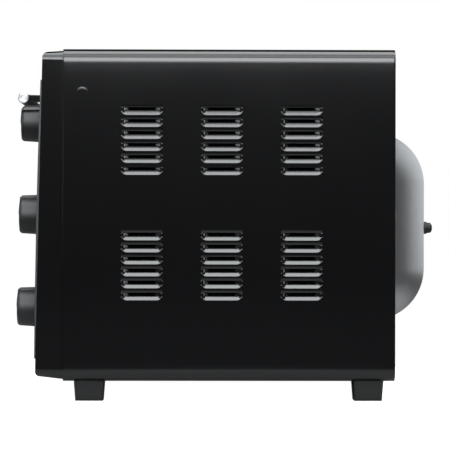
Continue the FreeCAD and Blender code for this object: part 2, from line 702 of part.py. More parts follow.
def control_panel():
    """Fascia behind the knobs, bowed a little from top to bottom."""
    body = new_body("control_panel", FRONT_FRAME, True)
    half = "(panel_top - panel_bottom) / 2"
    drawing = new_sketch(body, "YZ", "panel_left")
    draw_outline(drawing, [
        ("-panel_proud", "panel_bottom"), ("panel_seat", "panel_bottom"), ("panel_seat", "panel_top"),
        ("-panel_proud", "panel_top", f"({half} * {half} / panel_bow + panel_bow) / 2", 1)])
    pad(body, drawing, "panel_right - panel_left")
    holes = new_sketch(body, "XZ", "-panel_proud - 5")
    for step in range(3):
        draw_circle(holes, "knob_x", f"knob_low + {step} * knob_pitch", "shaft_radius + 1")
    draw_circle(holes, "knob_x", "lamp_height", "lamp_radius + 0.1")
    cut(body, holes, "20")
    return body


def indicator_lens():
    """Red lens pushed into the panel, with a collar behind it."""
    body = new_body("indicator_lens", lean_place("knob_x", "0", "lamp_height"), True)
    drawing = new_sketch(body, "XY")
    draw_outline(drawing, [
        ("0", "-panel_proud - panel_bow - lens_rise"),
        ("lamp_radius - lens_rise", "-panel_proud - panel_bow - lens_rise * 0.7"),
        ("lamp_radius", "-panel_proud - panel_bow"), ("lamp_radius", "panel_seat + 0.1"),
        ("lamp_radius + lens_collar", "panel_seat + 0.1"),
        ("lamp_radius + lens_collar", "panel_seat + 2"),
        ("lamp_radius", "panel_seat + 2"), ("lamp_radius", "panel_seat + 5"), ("0", "panel_seat + 5")])
    turn(body, drawing, (origin_part(body, "Y_Axis"), [""]))
    return body


def indicator_lamp():
    """Small neon lamp in its sleeve, between the lens and the plate."""
    body = new_body("indicator_lamp", lean_place("knob_x", "0", "lamp_height"), True)
    rod(body, "XZ", "panel_seat + 5.1", "plate_depth - panel_seat - 5.2", "0", "0", "lamp_radius")
    return body


KNOBS = [("timer", 0), ("function", 1), ("temperature", 2)]


def knob(name, step):
    """Drafted round knob with a domed face and one straight pointer rib."""
    up = f"knob_low + {step} * knob_pitch"
    body = new_body(f"{name}_knob", lean_place("knob_x", "-knob_base", up), True)
    drawing = new_sketch(body, "XY")
    shrink = "knob_length * tan(knob_draft)"
    brow = f"(knob_radius - {shrink})"
    draw_outline(drawing, [
        ("0", "-knob_length - knob_dome", f"({brow} * {brow} / knob_dome + knob_dome) / 2", 1),
        (brow, "-knob_length"), ("knob_radius", "0"), ("0", "0")])
    turn(body, drawing, (origin_part(body, "Y_Axis"), [""]))
    rib = new_sketch(body, "YZ", "-pointer_width / 2")
    draw_outline(rib, [
        ("-knob_length", "knob_radius - 4"), ("0", "knob_radius - 4"),
        ("0", "knob_radius + pointer_rise"), ("-knob_length", f"{brow} + pointer_rise")])
    pad(body, rib, "pointer_width")
    bore(body, "XZ", "1", "shaft_engaged + 1.5", "0", "0", "shaft_radius + running_gap", -1)
    return body


def turn_knob(body, angle):
    """Leave a knob turned clockwise from twelve o'clock, about its own axis."""
    tilt = FreeCAD.Rotation(FreeCAD.Vector(1, 0, 0), -value("face_tilt"))
    spin = FreeCAD.Rotation(FreeCAD.Vector(0, 1, 0), angle)
    body.setExpression("Placement.Rotation.Angle", None)
    body.Placement = FreeCAD.Placement(body.Placement.Base, tilt.multiply(spin))


def control_shaft(name, step):
    """Steel shaft that joins a knob to the control behind it."""
    up = f"knob_low + {step} * knob_pitch"
    body = new_body(f"{name}_shaft", lean_place("knob_x", "0", up), True)
    length = "plate_depth + wall + knob_base + 2 * shaft_engaged"
    rod(body, "XZ", "-knob_base - shaft_engaged", length, "0", "0", "shaft_radius")
    return body


def middle_box(body, at, thick, width, height):
    """A box centred on the shaft, with rounded corners."""
    return plain_box(body, "XZ", at, thick, f"-{width} / 2", f"-{height} / 2", f"{width} / 2",
                     f"{height} / 2", "switch_corner")


def shaft_hole(body):
    """The blind hole that takes the end of the control's shaft."""
    return bore(body, "XZ", "-1", "shaft_engaged + 2.5", "0", "0", "shaft_radius + running_gap")


def thermostat():
    up = "knob_low + 2 * knob_pitch"
    body = new_body("thermostat", lean_place("knob_x", "plate_depth + wall", up), True)
    middle_box(body, "0.05", "thermostat_deep", "thermostat_width", "thermostat_height")
    middle_box(body, "thermostat_deep", "thermostat_head_deep", "thermostat_head_width",
               "thermostat_head_height")
    shaft_hole(body)
    return body


def function_switch():
    up = "knob_low + knob_pitch"
    body = new_body("function_switch", lean_place("knob_x", "plate_depth + wall", up), True)
    rod(body, "XZ", "0.05", "switch_deep", "0", "0", "switch_radius")
    middle_box(body, "switch_deep", "switch_back_deep", "switch_back", "switch_back")
    shaft_hole(body)
    return body


def timer():
    """Clockwork timer: a round case with its movement inside."""
    body = new_body("timer", lean_place("knob_x", "plate_depth + wall", "knob_low"), True)
    rod(body, "XZ", "0.05", "timer_deep", "0", "0", "timer_radius")
    rod(body, "XZ", "timer_deep", "timer_post_deep", "0", "0", "timer_post")
    shaft_hole(body)
    return body


def timer_bell():
    """Pressed steel bell held on the end of the timer."""
    back = "plate_depth + wall + timer_deep + 0.2"
    body = new_body("timer_bell", lean_place("knob_x", back, "knob_low"), True)
    drawing = new_sketch(body, "XY")
    draw_outline(drawing, [
        ("timer_post + 0.1", "bell_rise"), ("bell_crown", "bell_rise"), ("bell_radius - 1", "0"),
        ("bell_radius", "0"), ("bell_crown + 0.6", "bell_rise + wall"),
        ("timer_post + 0.1", "bell_rise + wall")])
    turn(body, drawing, (origin_part(body, "Y_Axis"), [""]))
    return body


# ---------------------------------------------------------------- door


def door_frame():
    """Door surround with a round lower edge about the hinge line, rebated for the glass."""
    body = new_body("door_frame", FRONT_FRAME, True)
    drawing = new_sketch(body, "YZ", "door_left")
    draw_outline(drawing, [
        ("door_front", "hinge_height", "door_thick / 2", 1), ("door_back", "hinge_height"),
        ("door_back", "door_top"), ("door_front", "door_top")])
    pad(body, drawing, "door_right - door_left")
    cut_box(body, "XZ", "door_front - 1", "door_thick + 2", "window_left", "window_bottom",
            "window_right", "window_top", "window_corner")
    cut_box(body, "XZ", "door_front + 3", "door_thick", "window_left - glass_lap",
            "window_bottom - glass_lap", "window_right + glass_lap", "window_top + glass_lap")
    for edge, sign in (("door_left", 1), ("door_right", -1)):
        start = f"{edge} - {sign}"
        for deep, radius in (("pin_hole", "hinge_pin + running_gap"),
                             ("spring_well", "spring_radius + 0.5")):
            bore(body, "YZ", start, deep, "hinge_depth", "hinge_height", radius, sign)
    holes = new_sketch(body, "XZ", "door_front - 1")
    wells = new_sketch(body, "XZ", "door_back + 1")
    for across in arm_places():
        draw_circle(holes, across, "handle_height", "handle_screw + 0.1")
        draw_circle(wells, across, "handle_height", "handle_screw_head + 0.6")
    cut(body, holes, "door_thick + 2")
    cut(body, wells, "door_thick + 1 - door_web", -1)
    return body


def glass_box(body, at, thick, spare):
    return plain_box(
        body, "XZ", at, thick, f"window_left - glass_lap + {spare}",
        f"window_bottom - glass_lap + {spare}", f"window_right + glass_lap - {spare}",
        f"window_top + glass_lap - {spare}")


def door_glass():
    body = new_body("door_glass", FRONT_FRAME, True)
    glass_box(body, "door_front + 3.05", "glass_thick", "0.5")
    return body


def glass_retainer():
    """Inner frame that clamps the glass from the cavity side."""
    body = new_body("glass_retainer", FRONT_FRAME, True)
    start = "door_front + 3.1 + glass_thick"
    glass_box(body, start, "door_back - (door_front + 3.1 + glass_thick) - 0.6", "0.3")
    cut_box(body, "XZ", f"{start} - 1", "door_thick", "window_left", "window_bottom",
            "window_right", "window_top", "window_corner")
    return body


def arm_places():
    return ("handle_left + arm_width / 2 + arm_inset", "handle_right - arm_width / 2 - arm_inset")


def handle_tube():
    """Straight steel tube across the top of the door."""
    body = new_body("handle_tube", lean_place("0", "-handle_drop", "handle_height"), True)
    drawing = new_sketch(body, "YZ", "handle_left + 3")
    draw_circle(drawing, "0", "0", "handle_tube")
    draw_circle(drawing, "0", "0", "handle_bore")
    pad(body, drawing, "handle_right - handle_left - 6")
    holes = new_sketch(body, "XZ", "0")
    for across in arm_places():
        draw_circle(holes, across, "0", "handle_screw + 0.1")
    cut(body, holes, "10")
    return body


def handle_end(name, end, sign):
    """Turned plug in each end of the tube, with a flat face that shows."""
    body = new_body(name, lean_place(end, "-handle_drop", "handle_height"), True)
    drawing = new_sketch(body, "XY")
    inward = -sign
    collar = f"{inward} * plug_collar"
    deep = f"{inward} * plug_length"
    spots = [("0", "0"), ("0", "handle_tube - plug_chamfer"),
             (f"{inward} * plug_chamfer", "handle_tube"), (collar, "handle_tube"),
             (collar, "handle_bore - 0.1"), (deep, "handle_bore - 0.1"), (deep, "0")]
    draw_outline(drawing, spots if inward < 0 else spots[::-1])
    turn(body, drawing, (origin_part(body, "X_Axis"), [""]))
    return body


def handle_arms():
    """Two short arms that stand the tube off the door, each hollowed to fit round the tube."""
    body = new_body("handle_arms", lean_place("0", "-handle_drop", "handle_height"), True)
    body.AllowCompound = True
    half = "arm_width / 2"
    for across in arm_places():
        plain_box(body, "XZ", "0", "handle_drop + door_front - 0.05", f"{across} - {half}",
                  "-arm_height / 2", f"{across} + {half}", "arm_height / 2")
    bore(body, "YZ", "-body_width", "2 * body_width", "0", "0", "handle_tube + 0.05")
    holes = new_sketch(body, "XZ", "0")
    for across in arm_places():
        draw_circle(holes, across, "0", "handle_screw + 0.1")
    cut(body, holes, "handle_drop + 10")
    return body


def handle_screws():
    """Machine screws from inside the door, through the arms, into the tube."""
    body = new_body("handle_screws", lean_place("0", "-handle_drop", "handle_height"), True)
    body.AllowCompound = True
    seat = "handle_drop + door_front + door_web + 0.05"
    heads = new_sketch(body, "XZ", seat)
    shanks = new_sketch(body, "XZ", "handle_bore - 1.5")
    for across in arm_places():
        draw_circle(heads, across, "0", "handle_screw_head")
        draw_circle(shanks, across, "0", "handle_screw")
    pad(body, heads, "handle_screw_rise")
    pad(body, shanks, f"{seat} - handle_bore + 2")
    return body


def hinge_sides():
    """Each end of the door, with the direction that points away from it."""
    return (("door_left", -1), ("door_right", 1))


def hinge_brackets():
    """Steel angle at each side of the door, on the front plate, with an ear for the pin."""
    body = new_body("hinge_brackets", FRONT_FRAME, True)
    body.AllowCompound = True
    for edge, sign in hinge_sides():
        ear = new_sketch(body, "YZ", f"{edge} + {sign} * door_gap")
        draw_box(ear, "hinge_depth - bracket_nose", "hinge_height - bracket_half", "plate_depth - 0.05",
                 "hinge_height + bracket_half")
        pad(body, ear, "bracket_thick", sign)
        ends = sorted((f"{edge} + {sign} * door_gap", f"{edge} + {sign} * (door_gap + bracket_foot)"),
                      key=value)
        plain_box(body, "XZ", "plate_depth - 0.05 - bracket_thick", "bracket_thick", ends[0],
                  "hinge_height - bracket_half", ends[1], "hinge_height + bracket_half")
        bore(body, "YZ", f"{edge} + {sign}", "bracket_thick + 2", "hinge_depth", "hinge_height",
             "hinge_pin + running_gap", sign)
    return body


def hinge_pins():
    """Steel pins that the door turns on, headed outside the brackets."""
    body = new_body("hinge_pins", FRONT_FRAME, True)
    body.AllowCompound = True
    for edge, sign in hinge_sides():
        head_seat = f"{edge} + {sign} * (door_gap + bracket_thick + 0.1)"
        rod(body, "YZ", head_seat, "pin_head_thick", "hinge_depth", "hinge_height", "pin_head", sign)
        rod(body, "YZ", f"{head_seat} + {sign} * pin_head_thick / 2", "door_gap + pin_reach",
            "hinge_depth", "hinge_height", "hinge_pin", -sign)
    return body


def door_springs():
    """Coil springs round the pins, drawn as sleeves with a groove between their turns."""
    body = new_body("door_springs", FRONT_FRAME, True)
    body.AllowCompound = True
    for edge, sign in hinge_sides():
        for turn_number in range(int(value("spring_turns"))):
            start = f"{edge} - {sign} * (0.6 + {turn_number} * spring_pitch)"
            drawing = new_sketch(body, "YZ", start)
            draw_circle(drawing, "hinge_depth", "hinge_height", "spring_radius")
            draw_circle(drawing, "hinge_depth", "hinge_height", "spring_hole")
            pad(body, drawing, "spring_wire", -sign)
        core = new_sketch(body, "YZ", f"{edge} - {sign} * 0.6")
        draw_circle(core, "hinge_depth", "hinge_height", "spring_radius - spring_groove")
        draw_circle(core, "hinge_depth", "hinge_height", "spring_hole")
        pad(body, core, "(spring_turns - 1) * spring_pitch + spring_wire", -sign)
    return body


# ---------------------------------------------------------------- cavity


def cavity_shell():
    """Roof and sides of the cavity in one folded sheet, with ledges turned in at the bottom."""
    body = new_body("cavity_shell")
    drawing = new_sketch(body, "XZ", "wrap_front - bezel_foot")
    draw_outline(drawing, [
        ("cavity_left + cavity_ledge", "cavity_floor"),
        ("cavity_left + cavity_ledge", "cavity_floor + lining"),
        ("cavity_left + lining", "cavity_floor + lining"),
        ("cavity_left + lining", "cavity_roof - lining"),
        ("cavity_right - lining", "cavity_roof - lining"),
        ("cavity_right - lining", "cavity_floor + lining"),
        ("cavity_right - cavity_ledge", "cavity_floor + lining"),
        ("cavity_right - cavity_ledge", "cavity_floor"),
        ("cavity_right", "cavity_floor"), ("cavity_right", "cavity_roof"),
        ("cavity_left", "cavity_roof"), ("cavity_left", "cavity_floor")])
    pad(body, drawing, "cavity_rear - 0.05 - (wrap_front - bezel_foot)")
    trim_front(body, "plate_depth + wall + 0.05")
    for height in element_heights():
        holes = new_sketch(body, "YZ", "cavity_left - 2")
        for along in element_rows():
            draw_circle(holes, along, height, "bush_radius + 0.1")
        cut(body, holes, "cavity_right - cavity_left + 4")
    return body


def element_heights():
    return ("cavity_floor + element_rise", "cavity_roof - element_drop")


def element_rows():
    return ("wrap_front + element_front", "wrap_front + element_rear")


def elements(name, height):
    """A pair of sheathed heating rods across the cavity, one towards the front and one behind."""
    body = new_body(name)
    body.AllowCompound = True
    drawing = new_sketch(body, "YZ", "cavity_left - element_end")
    for along in element_rows():
        draw_circle(drawing, along, height, "element_radius")
    pad(body, drawing, "cavity_right - cavity_left + 2 * element_end")
    return body


def element_bushes():
    """Ceramic bushes that carry the ends of the heating rods through the cavity's sides."""
    body = new_body("element_bushes")
    body.AllowCompound = True
    for edge, sign in (("cavity_left", -1), ("cavity_right", 1)):
        for radius, start, length in (("bush_radius", "-3", "bush_length"),
                                      ("bush_radius + bush_flange", "0.05", "bush_flange_thick")):
            drawing = new_sketch(body, "YZ", f"{edge} + {sign} * ({start})")
            for height in element_heights():
                for along in element_rows():
                    draw_circle(drawing, along, height, radius)
                    draw_circle(drawing, along, height, "element_radius + 0.1")
            pad(body, drawing, length, sign)
    return body


def rack_rails():
    """Pressed ledges on the sides of the cavity, one pair under the rack and one spare pair above."""
    body = new_body("rack_rails")
    body.AllowCompound = True
    drawing = new_sketch(body, "XZ", "rack_front + 12")
    top = "rack_height - rack_wire - 0.4"
    for level in ("0", "rail_spacing"):
        for wall, sign in (("cavity_left + lining + 0.05", 1), ("cavity_right - lining - 0.05", -1)):
            spots = [
                (wall, f"{top} + {level}"), (wall, f"{top} + {level} - rail_drop"),
                (f"{wall} + {sign} * rail_thick", f"{top} + {level} - rail_drop"),
                (f"{wall} + {sign} * rail_thick", f"{top} + {level} - rail_thick"),
                (f"{wall} + {sign} * rail_reach", f"{top} + {level} - rail_thick"),
                (f"{wall} + {sign} * rail_reach", f"{top} + {level}")]
            draw_outline(drawing, spots if sign > 0 else spots[::-1])
    pad(body, drawing, "rack_rear - rack_front - 14")
    return body


def wire_rack():
    """Welded wire shelf: a bent frame with rungs from front to back."""
    body = new_body("wire_rack", ("0", "0", "rack_height"))
    path = new_sketch(body, "XY")
    draw_box(path, "rack_left + rack_wire", "rack_front + rack_wire", "rack_right - rack_wire",
             "rack_rear - rack_wire", "rack_bend")
    wire = new_sketch(body, "XZ", "(rack_front + rack_rear) / 2")
    draw_circle(wire, "rack_left + rack_wire", "0", "rack_wire")
    frame = body.newObject("PartDesign::AdditivePipe", "frame")
    frame.Profile = wire
    frame.Spine = (path, [])
    doc.recompute()
    first = "rack_left + rack_wire + rung_pitch"
    rung = rod(body, "XZ", "rack_front + rack_wire", "rack_rear - rack_front - 2 * rack_wire", first,
               "rack_wire - rung_wire", "rung_wire")
    repeat(body, [rung], "X", "rung_pitch", "floor((rack_right - rack_left - rung_pitch) / rung_pitch)")
    rod(body, "YZ", "rack_left + rack_wire", "rack_right - rack_left - 2 * rack_wire",
        "(rack_front + rack_rear) / 2", "-rack_drop", "rack_wire - rack_drop")
    return body


def crumb_tray():
    """Shallow tray under the cavity, with a lip at the front to pull it out by."""
    body = new_body("crumb_tray", ("0", "face_foot", "tray_floor"))
    plain_box(body, "XY", "0", "tray_height", "tray_left", "1", "tray_right", "tray_depth")
    cut_box(body, "XY", "wall", "tray_height", "tray_left + wall", "2.2", "tray_right - wall",
            "tray_depth - wall")
    plain_box(body, "XZ", "-1.6", "1.2", "tray_left - tray_overlap", "-2.5",
              "tray_right + tray_overlap", "tray_lip")
    plain_box(body, "XZ", "-0.5", "2", "tray_left", "0.2", "tray_right", "tray_height - 0.2")
    plain_box(body, "XZ", "-1.4 - tray_pull", "tray_pull", "tray_left + tray_pull_inset", "-2.5",
              "tray_right - tray_pull_inset", "-1")
    return body


def tray_rails():
    """Folded runners on the floor that carry and guide the crumb tray."""
    body = new_body("tray_rails")
    body.AllowCompound = True
    floor_top = "foot_height + 2 * wall + 0.05"
    drawing = new_sketch(body, "XZ", "wrap_front + 8")
    for edge, sign in (("tray_left", 1), ("tray_right", -1)):
        outer = f"{edge} - {sign} * 2"
        spots = [
            (outer, floor_top), (f"{edge} + {sign} * tray_rail_reach", floor_top),
            (f"{edge} + {sign} * tray_rail_reach", "tray_floor - 0.3"),
            (f"{edge} - {sign} * 0.8", "tray_floor - 0.3"),
            (f"{edge} - {sign} * 0.8", "tray_floor + tray_rail_rise"),
            (outer, "tray_floor + tray_rail_rise")]
        draw_outline(drawing, spots if sign > 0 else spots[::-1])
    pad(body, drawing, "wrap_depth - 8 - tray_rail_gap")
    return body


def heat_shield():
    """Upright sheet between the hot cavity and the controls."""
    body = new_body("heat_shield")
    clear = "bezel_inset + bezel_wall + 0.4"
    plain_box(body, "YZ", "shield_x", "lining", "wrap_front - bezel_foot", f"foot_height + {clear}",
              "cavity_rear - 6", f"wrap_top - ({clear})")
    trim_front(body, "plate_depth + wall + 0.05")
    return body


def terminal_block():
    """Ceramic block on the floor of the control bay where the supply lead would be joined."""
    body = new_body("terminal_block", ("gland_x", "wrap_rear - 60", "foot_height + 2 * wall + 0.05"))
    half = "terminal_width / 2"
    plain_box(body, "XY", "0", "terminal_height", "-terminal_length / 2", f"-{half}",
              "terminal_length / 2", half, "switch_corner")
    for sign in SIDES:
        middle = f"{sign} * terminal_length / 6"
        cut_box(body, "XY", "terminal_height / 2", "terminal_height",
                f"{middle} - terminal_groove / 2", f"-{half} - 1", f"{middle} + terminal_groove / 2",
                f"{half} + 1")
    return body


# ---------------------------------------------------------------- the assembly

wrap = keep(outer_wrap())
drill_feet(wrap)
floor = keep(base_plate())
drill_feet(floor)
for foot_name, (across, along) in zip(FOOT_NAMES, FOOT_PLACES):
    keep(foot(foot_name, across, along))
for make in (foot_screws, back_panel, cavity_back, rear_bumper, cord_gland, back_screws, front_bezel,
             front_plate, control_panel, indicator_lens, indicator_lamp):
    keep(make())
for name, step in KNOBS:
    control = keep(knob(name, step))
    keep(control_shaft(name, step))
    if name == "temperature":
        doc.recompute()
        turn_knob(control, value("knob_setting"))
for make in (thermostat, function_switch, timer, timer_bell, door_frame, door_glass, glass_retainer,
             handle_tube, handle_arms, handle_screws, hinge_brackets, hinge_pins, door_springs,
             cavity_shell, element_bushes, rack_rails, wire_rack, crumb_tray, tray_rails, heat_shield,
             terminal_block):
    keep(make())
keep(handle_end("handle_end_left", "handle_left", -1))
keep(handle_end("handle_end_right", "handle_right", 1))
for name, height in zip(("lower_elements", "upper_elements"), element_heights()):
    keep(elements(name, height))
doc.recompute()

# ---------------------------------------------------------------- checks and files

for item in doc.Objects:
    if {"Invalid", "Error"} & set(item.State):
        raise RuntimeError(f"{item.Label} ({item.Name}) failed: {item.State}")
for feature, base in closed_by_cut:
    if feature.Shape.Volume > base.Shape.Volume - 0.01:
        raise RuntimeError(f"{feature.Name} in {feature.getParent().Label} cuts nothing")
for piece in pieces:
    if piece.Shape.isNull() or not piece.Shape.isValid() or piece.Shape.Volume <= 0:
        raise RuntimeError(f"{piece.Label} has no valid solid")
    piece.Shape.exportStep(f"parts/{piece.Label}.step")
    print(f"{piece.Label}: {len(piece.Shape.Solids)} solids, {piece.Shape.Volume / 1000:.1f} cm3")
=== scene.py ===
import math

import bmesh
import bpy
import numpy as np
from mathutils import Euler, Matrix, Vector


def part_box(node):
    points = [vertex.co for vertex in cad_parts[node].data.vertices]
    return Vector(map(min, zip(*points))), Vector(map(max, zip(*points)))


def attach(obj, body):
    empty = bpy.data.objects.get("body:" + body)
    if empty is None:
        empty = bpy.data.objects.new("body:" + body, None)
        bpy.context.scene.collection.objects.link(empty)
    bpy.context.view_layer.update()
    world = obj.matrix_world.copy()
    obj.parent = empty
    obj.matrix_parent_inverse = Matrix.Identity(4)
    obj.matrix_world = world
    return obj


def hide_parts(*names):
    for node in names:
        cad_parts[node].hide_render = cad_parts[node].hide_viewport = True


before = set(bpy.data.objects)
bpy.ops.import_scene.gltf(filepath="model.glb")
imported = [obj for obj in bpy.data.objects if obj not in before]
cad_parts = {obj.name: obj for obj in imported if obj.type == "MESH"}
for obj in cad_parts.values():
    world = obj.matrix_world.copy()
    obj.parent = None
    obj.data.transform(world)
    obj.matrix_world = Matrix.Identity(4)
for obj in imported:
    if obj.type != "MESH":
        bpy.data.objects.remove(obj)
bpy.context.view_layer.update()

# ---------------------------------------------------------------- camera, floor and light
# The oven stands on white, seen square on from its right side through a long lens. One soft light
# hangs over it, one leans in between it and the camera, and one stands above the camera. Smaller
# ones stand off the corners and the front, and a large weak one behind.

MM = 0.001
wrap_low, wrap_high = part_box("outer_wrap")

lens = bpy.data.cameras.new("camera")
lens.sensor_width = 36
lens.lens = 208.7
lens.clip_end = 50
camera = bpy.data.objects.new("camera", lens)
bpy.context.scene.collection.objects.link(camera)
camera.location = (wrap_high[0] + 2400 * MM, -51.8 * MM, 162.6 * MM)
camera.rotation_euler = Euler([math.radians(turn) for turn in (90, -0.1, 90 - 0.99)], "XYZ")
bpy.context.scene.camera = camera
bpy.context.scene.view_settings.view_transform = "Standard"


def hex_colour(text):
    """Turn an sRGB hex value into linear light, with alpha 1."""
    parts = np.array([int(text[i:i + 2], 16) for i in (1, 3, 5)]) / 255
    linear = np.where(parts <= 0.04045, parts / 12.92, ((parts + 0.055) / 1.055) ** 2.4)
    return (*linear.tolist(), 1.0)


def soft_light(name, spot, target, size, watts):
    """A rectangular lamp that faces its target."""
    data = bpy.data.lights.new(name, "AREA")
    data.shape = "RECTANGLE"
    data.size, data.size_y = size
    data.energy = watts
    data.color = (0.95, 0.98, 1.0)
    lamp = bpy.data.objects.new(name, data)
    bpy.context.scene.collection.objects.link(lamp)
    lamp.location = spot
    lamp.rotation_euler = (lamp.location - Vector(target)).to_track_quat("Z", "Y").to_euler()
    return lamp


soft_light("overhead", (0.28, 0, 2.2), (0.28, 0, 0), (1.25, 2.8), 74)
soft_light("between", (1.5, -0.1, 2.0), (0.24, -0.1, 0.2), (2.2, 1.0), 30)
soft_light("above_camera", (2.72, -0.1, 1.32), (0.24, -0.1, 0.16), (1.6, 1.3), 70)
soft_light("back_corner", (1.5, 2.4, 0.35), (0, 0, 0.2), (0.45, 0.8), 11)
soft_light("back", (-2.2, 1.7, 0.7), (0, 0.1, 0.2), (2.0, 2.0), 15)
soft_light("front_corner", (1.4, -2.4, 0.8), (0, 0, 0.2), (0.8, 1.2), 10)
soft_light("front", (-0.4, -2.6, 0.8), (0, 0, 0.2), (1.6, 1.4), 14)


def add(tree, kind, links=None, **settings):
    """
    Add one node. A setting is a property of the node, or the value of an input written as its
    name with spaces as underscores; links maps an input to the output that feeds it.
    """
    node = tree.nodes.new("ShaderNode" + kind)
    for name, setting in settings.items():
        if hasattr(node, name):
            setattr(node, name, setting)
        else:
            node.inputs[name.replace("_", " ")].default_value = setting
    for name, source in (links or {}).items():
        tree.links.new(source, node.inputs[name])
    return node


world = bpy.data.worlds.new("studio")
world.use_nodes = True
bpy.context.scene.world = world
studio = world.node_tree
studio.nodes.clear()
seen = add(studio, "LightPath")
dim = add(studio, "Background", Color=(1, 1, 1, 1), Strength=0.05)
bright = add(studio, "Background", Color=(1, 1, 1, 1), Strength=1.0)
wall_or_room = add(studio, "MixShader", {0: seen.outputs["Is Camera Ray"], 1: dim.outputs[0],
                                         2: bright.outputs[0]})
add(studio, "OutputWorld", {"Surface": wall_or_room.outputs[0]})


def new_material(name):
    """A material with an empty tree, its tree and its output node."""
    material = bpy.data.materials.new(name)
    material.use_nodes = True
    material.node_tree.nodes.clear()
    return material, material.node_tree, add(material.node_tree, "OutputMaterial")


# the floor shows white; its diffuse colour is a painted pool of light, pale near the oven and dark further
# off, so the light it throws back fades away from the oven
floor_paint, tree, output = new_material("matt_pale_floor")
from_oven = add(tree, "VectorMath", {0: add(tree, "TexCoord").outputs["Object"]}, operation="LENGTH")
spread = add(tree, "MapRange", {"Value": from_oven.outputs["Value"]}, From_Min=0.3, From_Max=0.5)
painted_light_pool = add(tree, "MixRGB", {"Fac": spread.outputs[0]}, Color1=hex_colour("#a8a8a8"),
            Color2=hex_colour("#3a3a3a"))
surface = add(tree, "BsdfDiffuse", {"Color": painted_light_pool.outputs[0]})
glow = add(tree, "Emission", Color=(1, 1, 1, 1), Strength=1.0)
both = add(tree, "AddShader", {0: surface.outputs[0], 1: glow.outputs[0]})
shown = add(tree, "LightPath")
lit = add(tree, "MixShader", {0: shown.outputs["Is Camera Ray"], 1: surface.outputs[0],
                              2: both.outputs[0]})
tree.links.new(lit.outputs[0], output.inputs["Surface"])


def mesh_object(name, points, faces, material, smooth=True):
    """Make an object at the origin from arrays of points and of quads or triangles."""
    mesh = bpy.data.meshes.new(name)
    spots = np.asarray(points, float).reshape(-1, 3).tolist()
    mesh.from_pydata(spots, [], [list(face) for face in faces])
    mesh.materials.append(material)
    mesh.polygons.foreach_set("use_smooth", np.full(len(mesh.polygons), smooth))
    mesh.update()
    thing = bpy.data.objects.new(name, mesh)
    bpy.context.scene.collection.objects.link(thing)
    return thing


floor_reach = 7
corners = floor_reach * np.array([(-1, -1, 0), (1, -1, 0), (1, 1, 0), (-1, 1, 0)])
floor = mesh_object("floor", corners, [(0, 1, 2, 3)], floor_paint, False)

# ---------------------------------------------------------------- the outer wrap
# One sheet of 0.8 mm steel, folded over the top and sides and turned in under the floor, then
# powder painted satin black. A rib is pressed out near the front of each side, and louvres are
# pressed in, each cut free along its straight upper edge.


def object_place(tree, *scales):
    """Object coordinates in metres, scaled along each axis."""
    place = add(tree, "TexCoord")
    return add(tree, "Mapping", {"Vector": place.outputs["Object"]}, Scale=scales or (1, 1, 1)).outputs[0]


def grain(tree, size, detail=2):
    """Noise in object coordinates, with features of about a size."""
    return add(tree, "TexNoise", {"Vector": object_place(tree)}, Scale=1 / size, Detail=detail)


def skin(tree, output, links=None, **settings):
    """Finish a material with one principled surface."""
    surface = add(tree, "BsdfPrincipled", links, **settings)
    tree.links.new(surface.outputs[0], output.inputs["Surface"])


# cured powder flows into a very faint orange peel, about 1.5 mm from crest to crest, and its gloss
# drifts a little across a panel
black_powder, tree, output = new_material("satin_black_powder_coat")
peel = grain(tree, 1.5 * MM)
relief = add(tree, "Bump", {"Height": peel.outputs["Fac"]}, Strength=0.06, Distance=0.05 * MM)
cloud = grain(tree, 60 * MM, 3)
sheen = add(tree, "MapRange", {"Value": cloud.outputs["Fac"]}, To_Min=0.12, To_Max=0.14)
skin(tree, output, {"Normal": relief.outputs[0], "Roughness": sheen.outputs[0]},
     Base_Color=hex_colour("#080809"), IOR=1.5)

wall = 0.8 * MM
corner = 11 * MM
fold_ease = 0.35 * MM
turned_edge = 34 * MM
half_width = wrap_high[0] - 0.5 * MM    # the frame's box takes in its rib, 0.5 mm proud
wrap_foot, wrap_top = wrap_low[2], wrap_high[2]
wrap_front, wrap_rear = wrap_low[1], wrap_high[1]

louvre_length, louvre_height = 38.6 * MM, 7.2 * MM
lip_height, lip_slope, lip_fold = 3.2 * MM, math.tan(math.radians(16.5)), 0.4 * MM
end_width, end_slope = 6.5 * MM, math.tan(math.radians(30))
hood_slope = math.tan(math.radians(62))
rim_width, rim_slope = 1.9 * MM, math.tan(math.radians(7))
louvre_pitch, column_pitch = 11.04 * MM, 73.6 * MM
louvre_rows, louvre_columns = 6, 3
first_column = wrap_front + 53.2 * MM
louvre_groups = (wrap_foot + 189.3 * MM, wrap_foot + 73.8 * MM)
rib_width, rib_length, rib_rise = 12.6 * MM, 234 * MM, 0.11 * MM
rib_front, rib_foot = wrap_front + 11.4 * MM, wrap_foot + 36.6 * MM


def smooth_step(share):
    """Ease from 0 to 1: three times the square less twice the cube."""
    share = np.clip(share, 0, 1)
    return share * share * (3 - 2 * share)


def folded(run, slope):
    """Depth of a sheet that folds away through a small radius and then runs on at a slope."""
    run = np.maximum(run, 0)
    return slope * np.where(run < lip_fold, run ** 2 / (2 * lip_fold), run - lip_fold / 2)


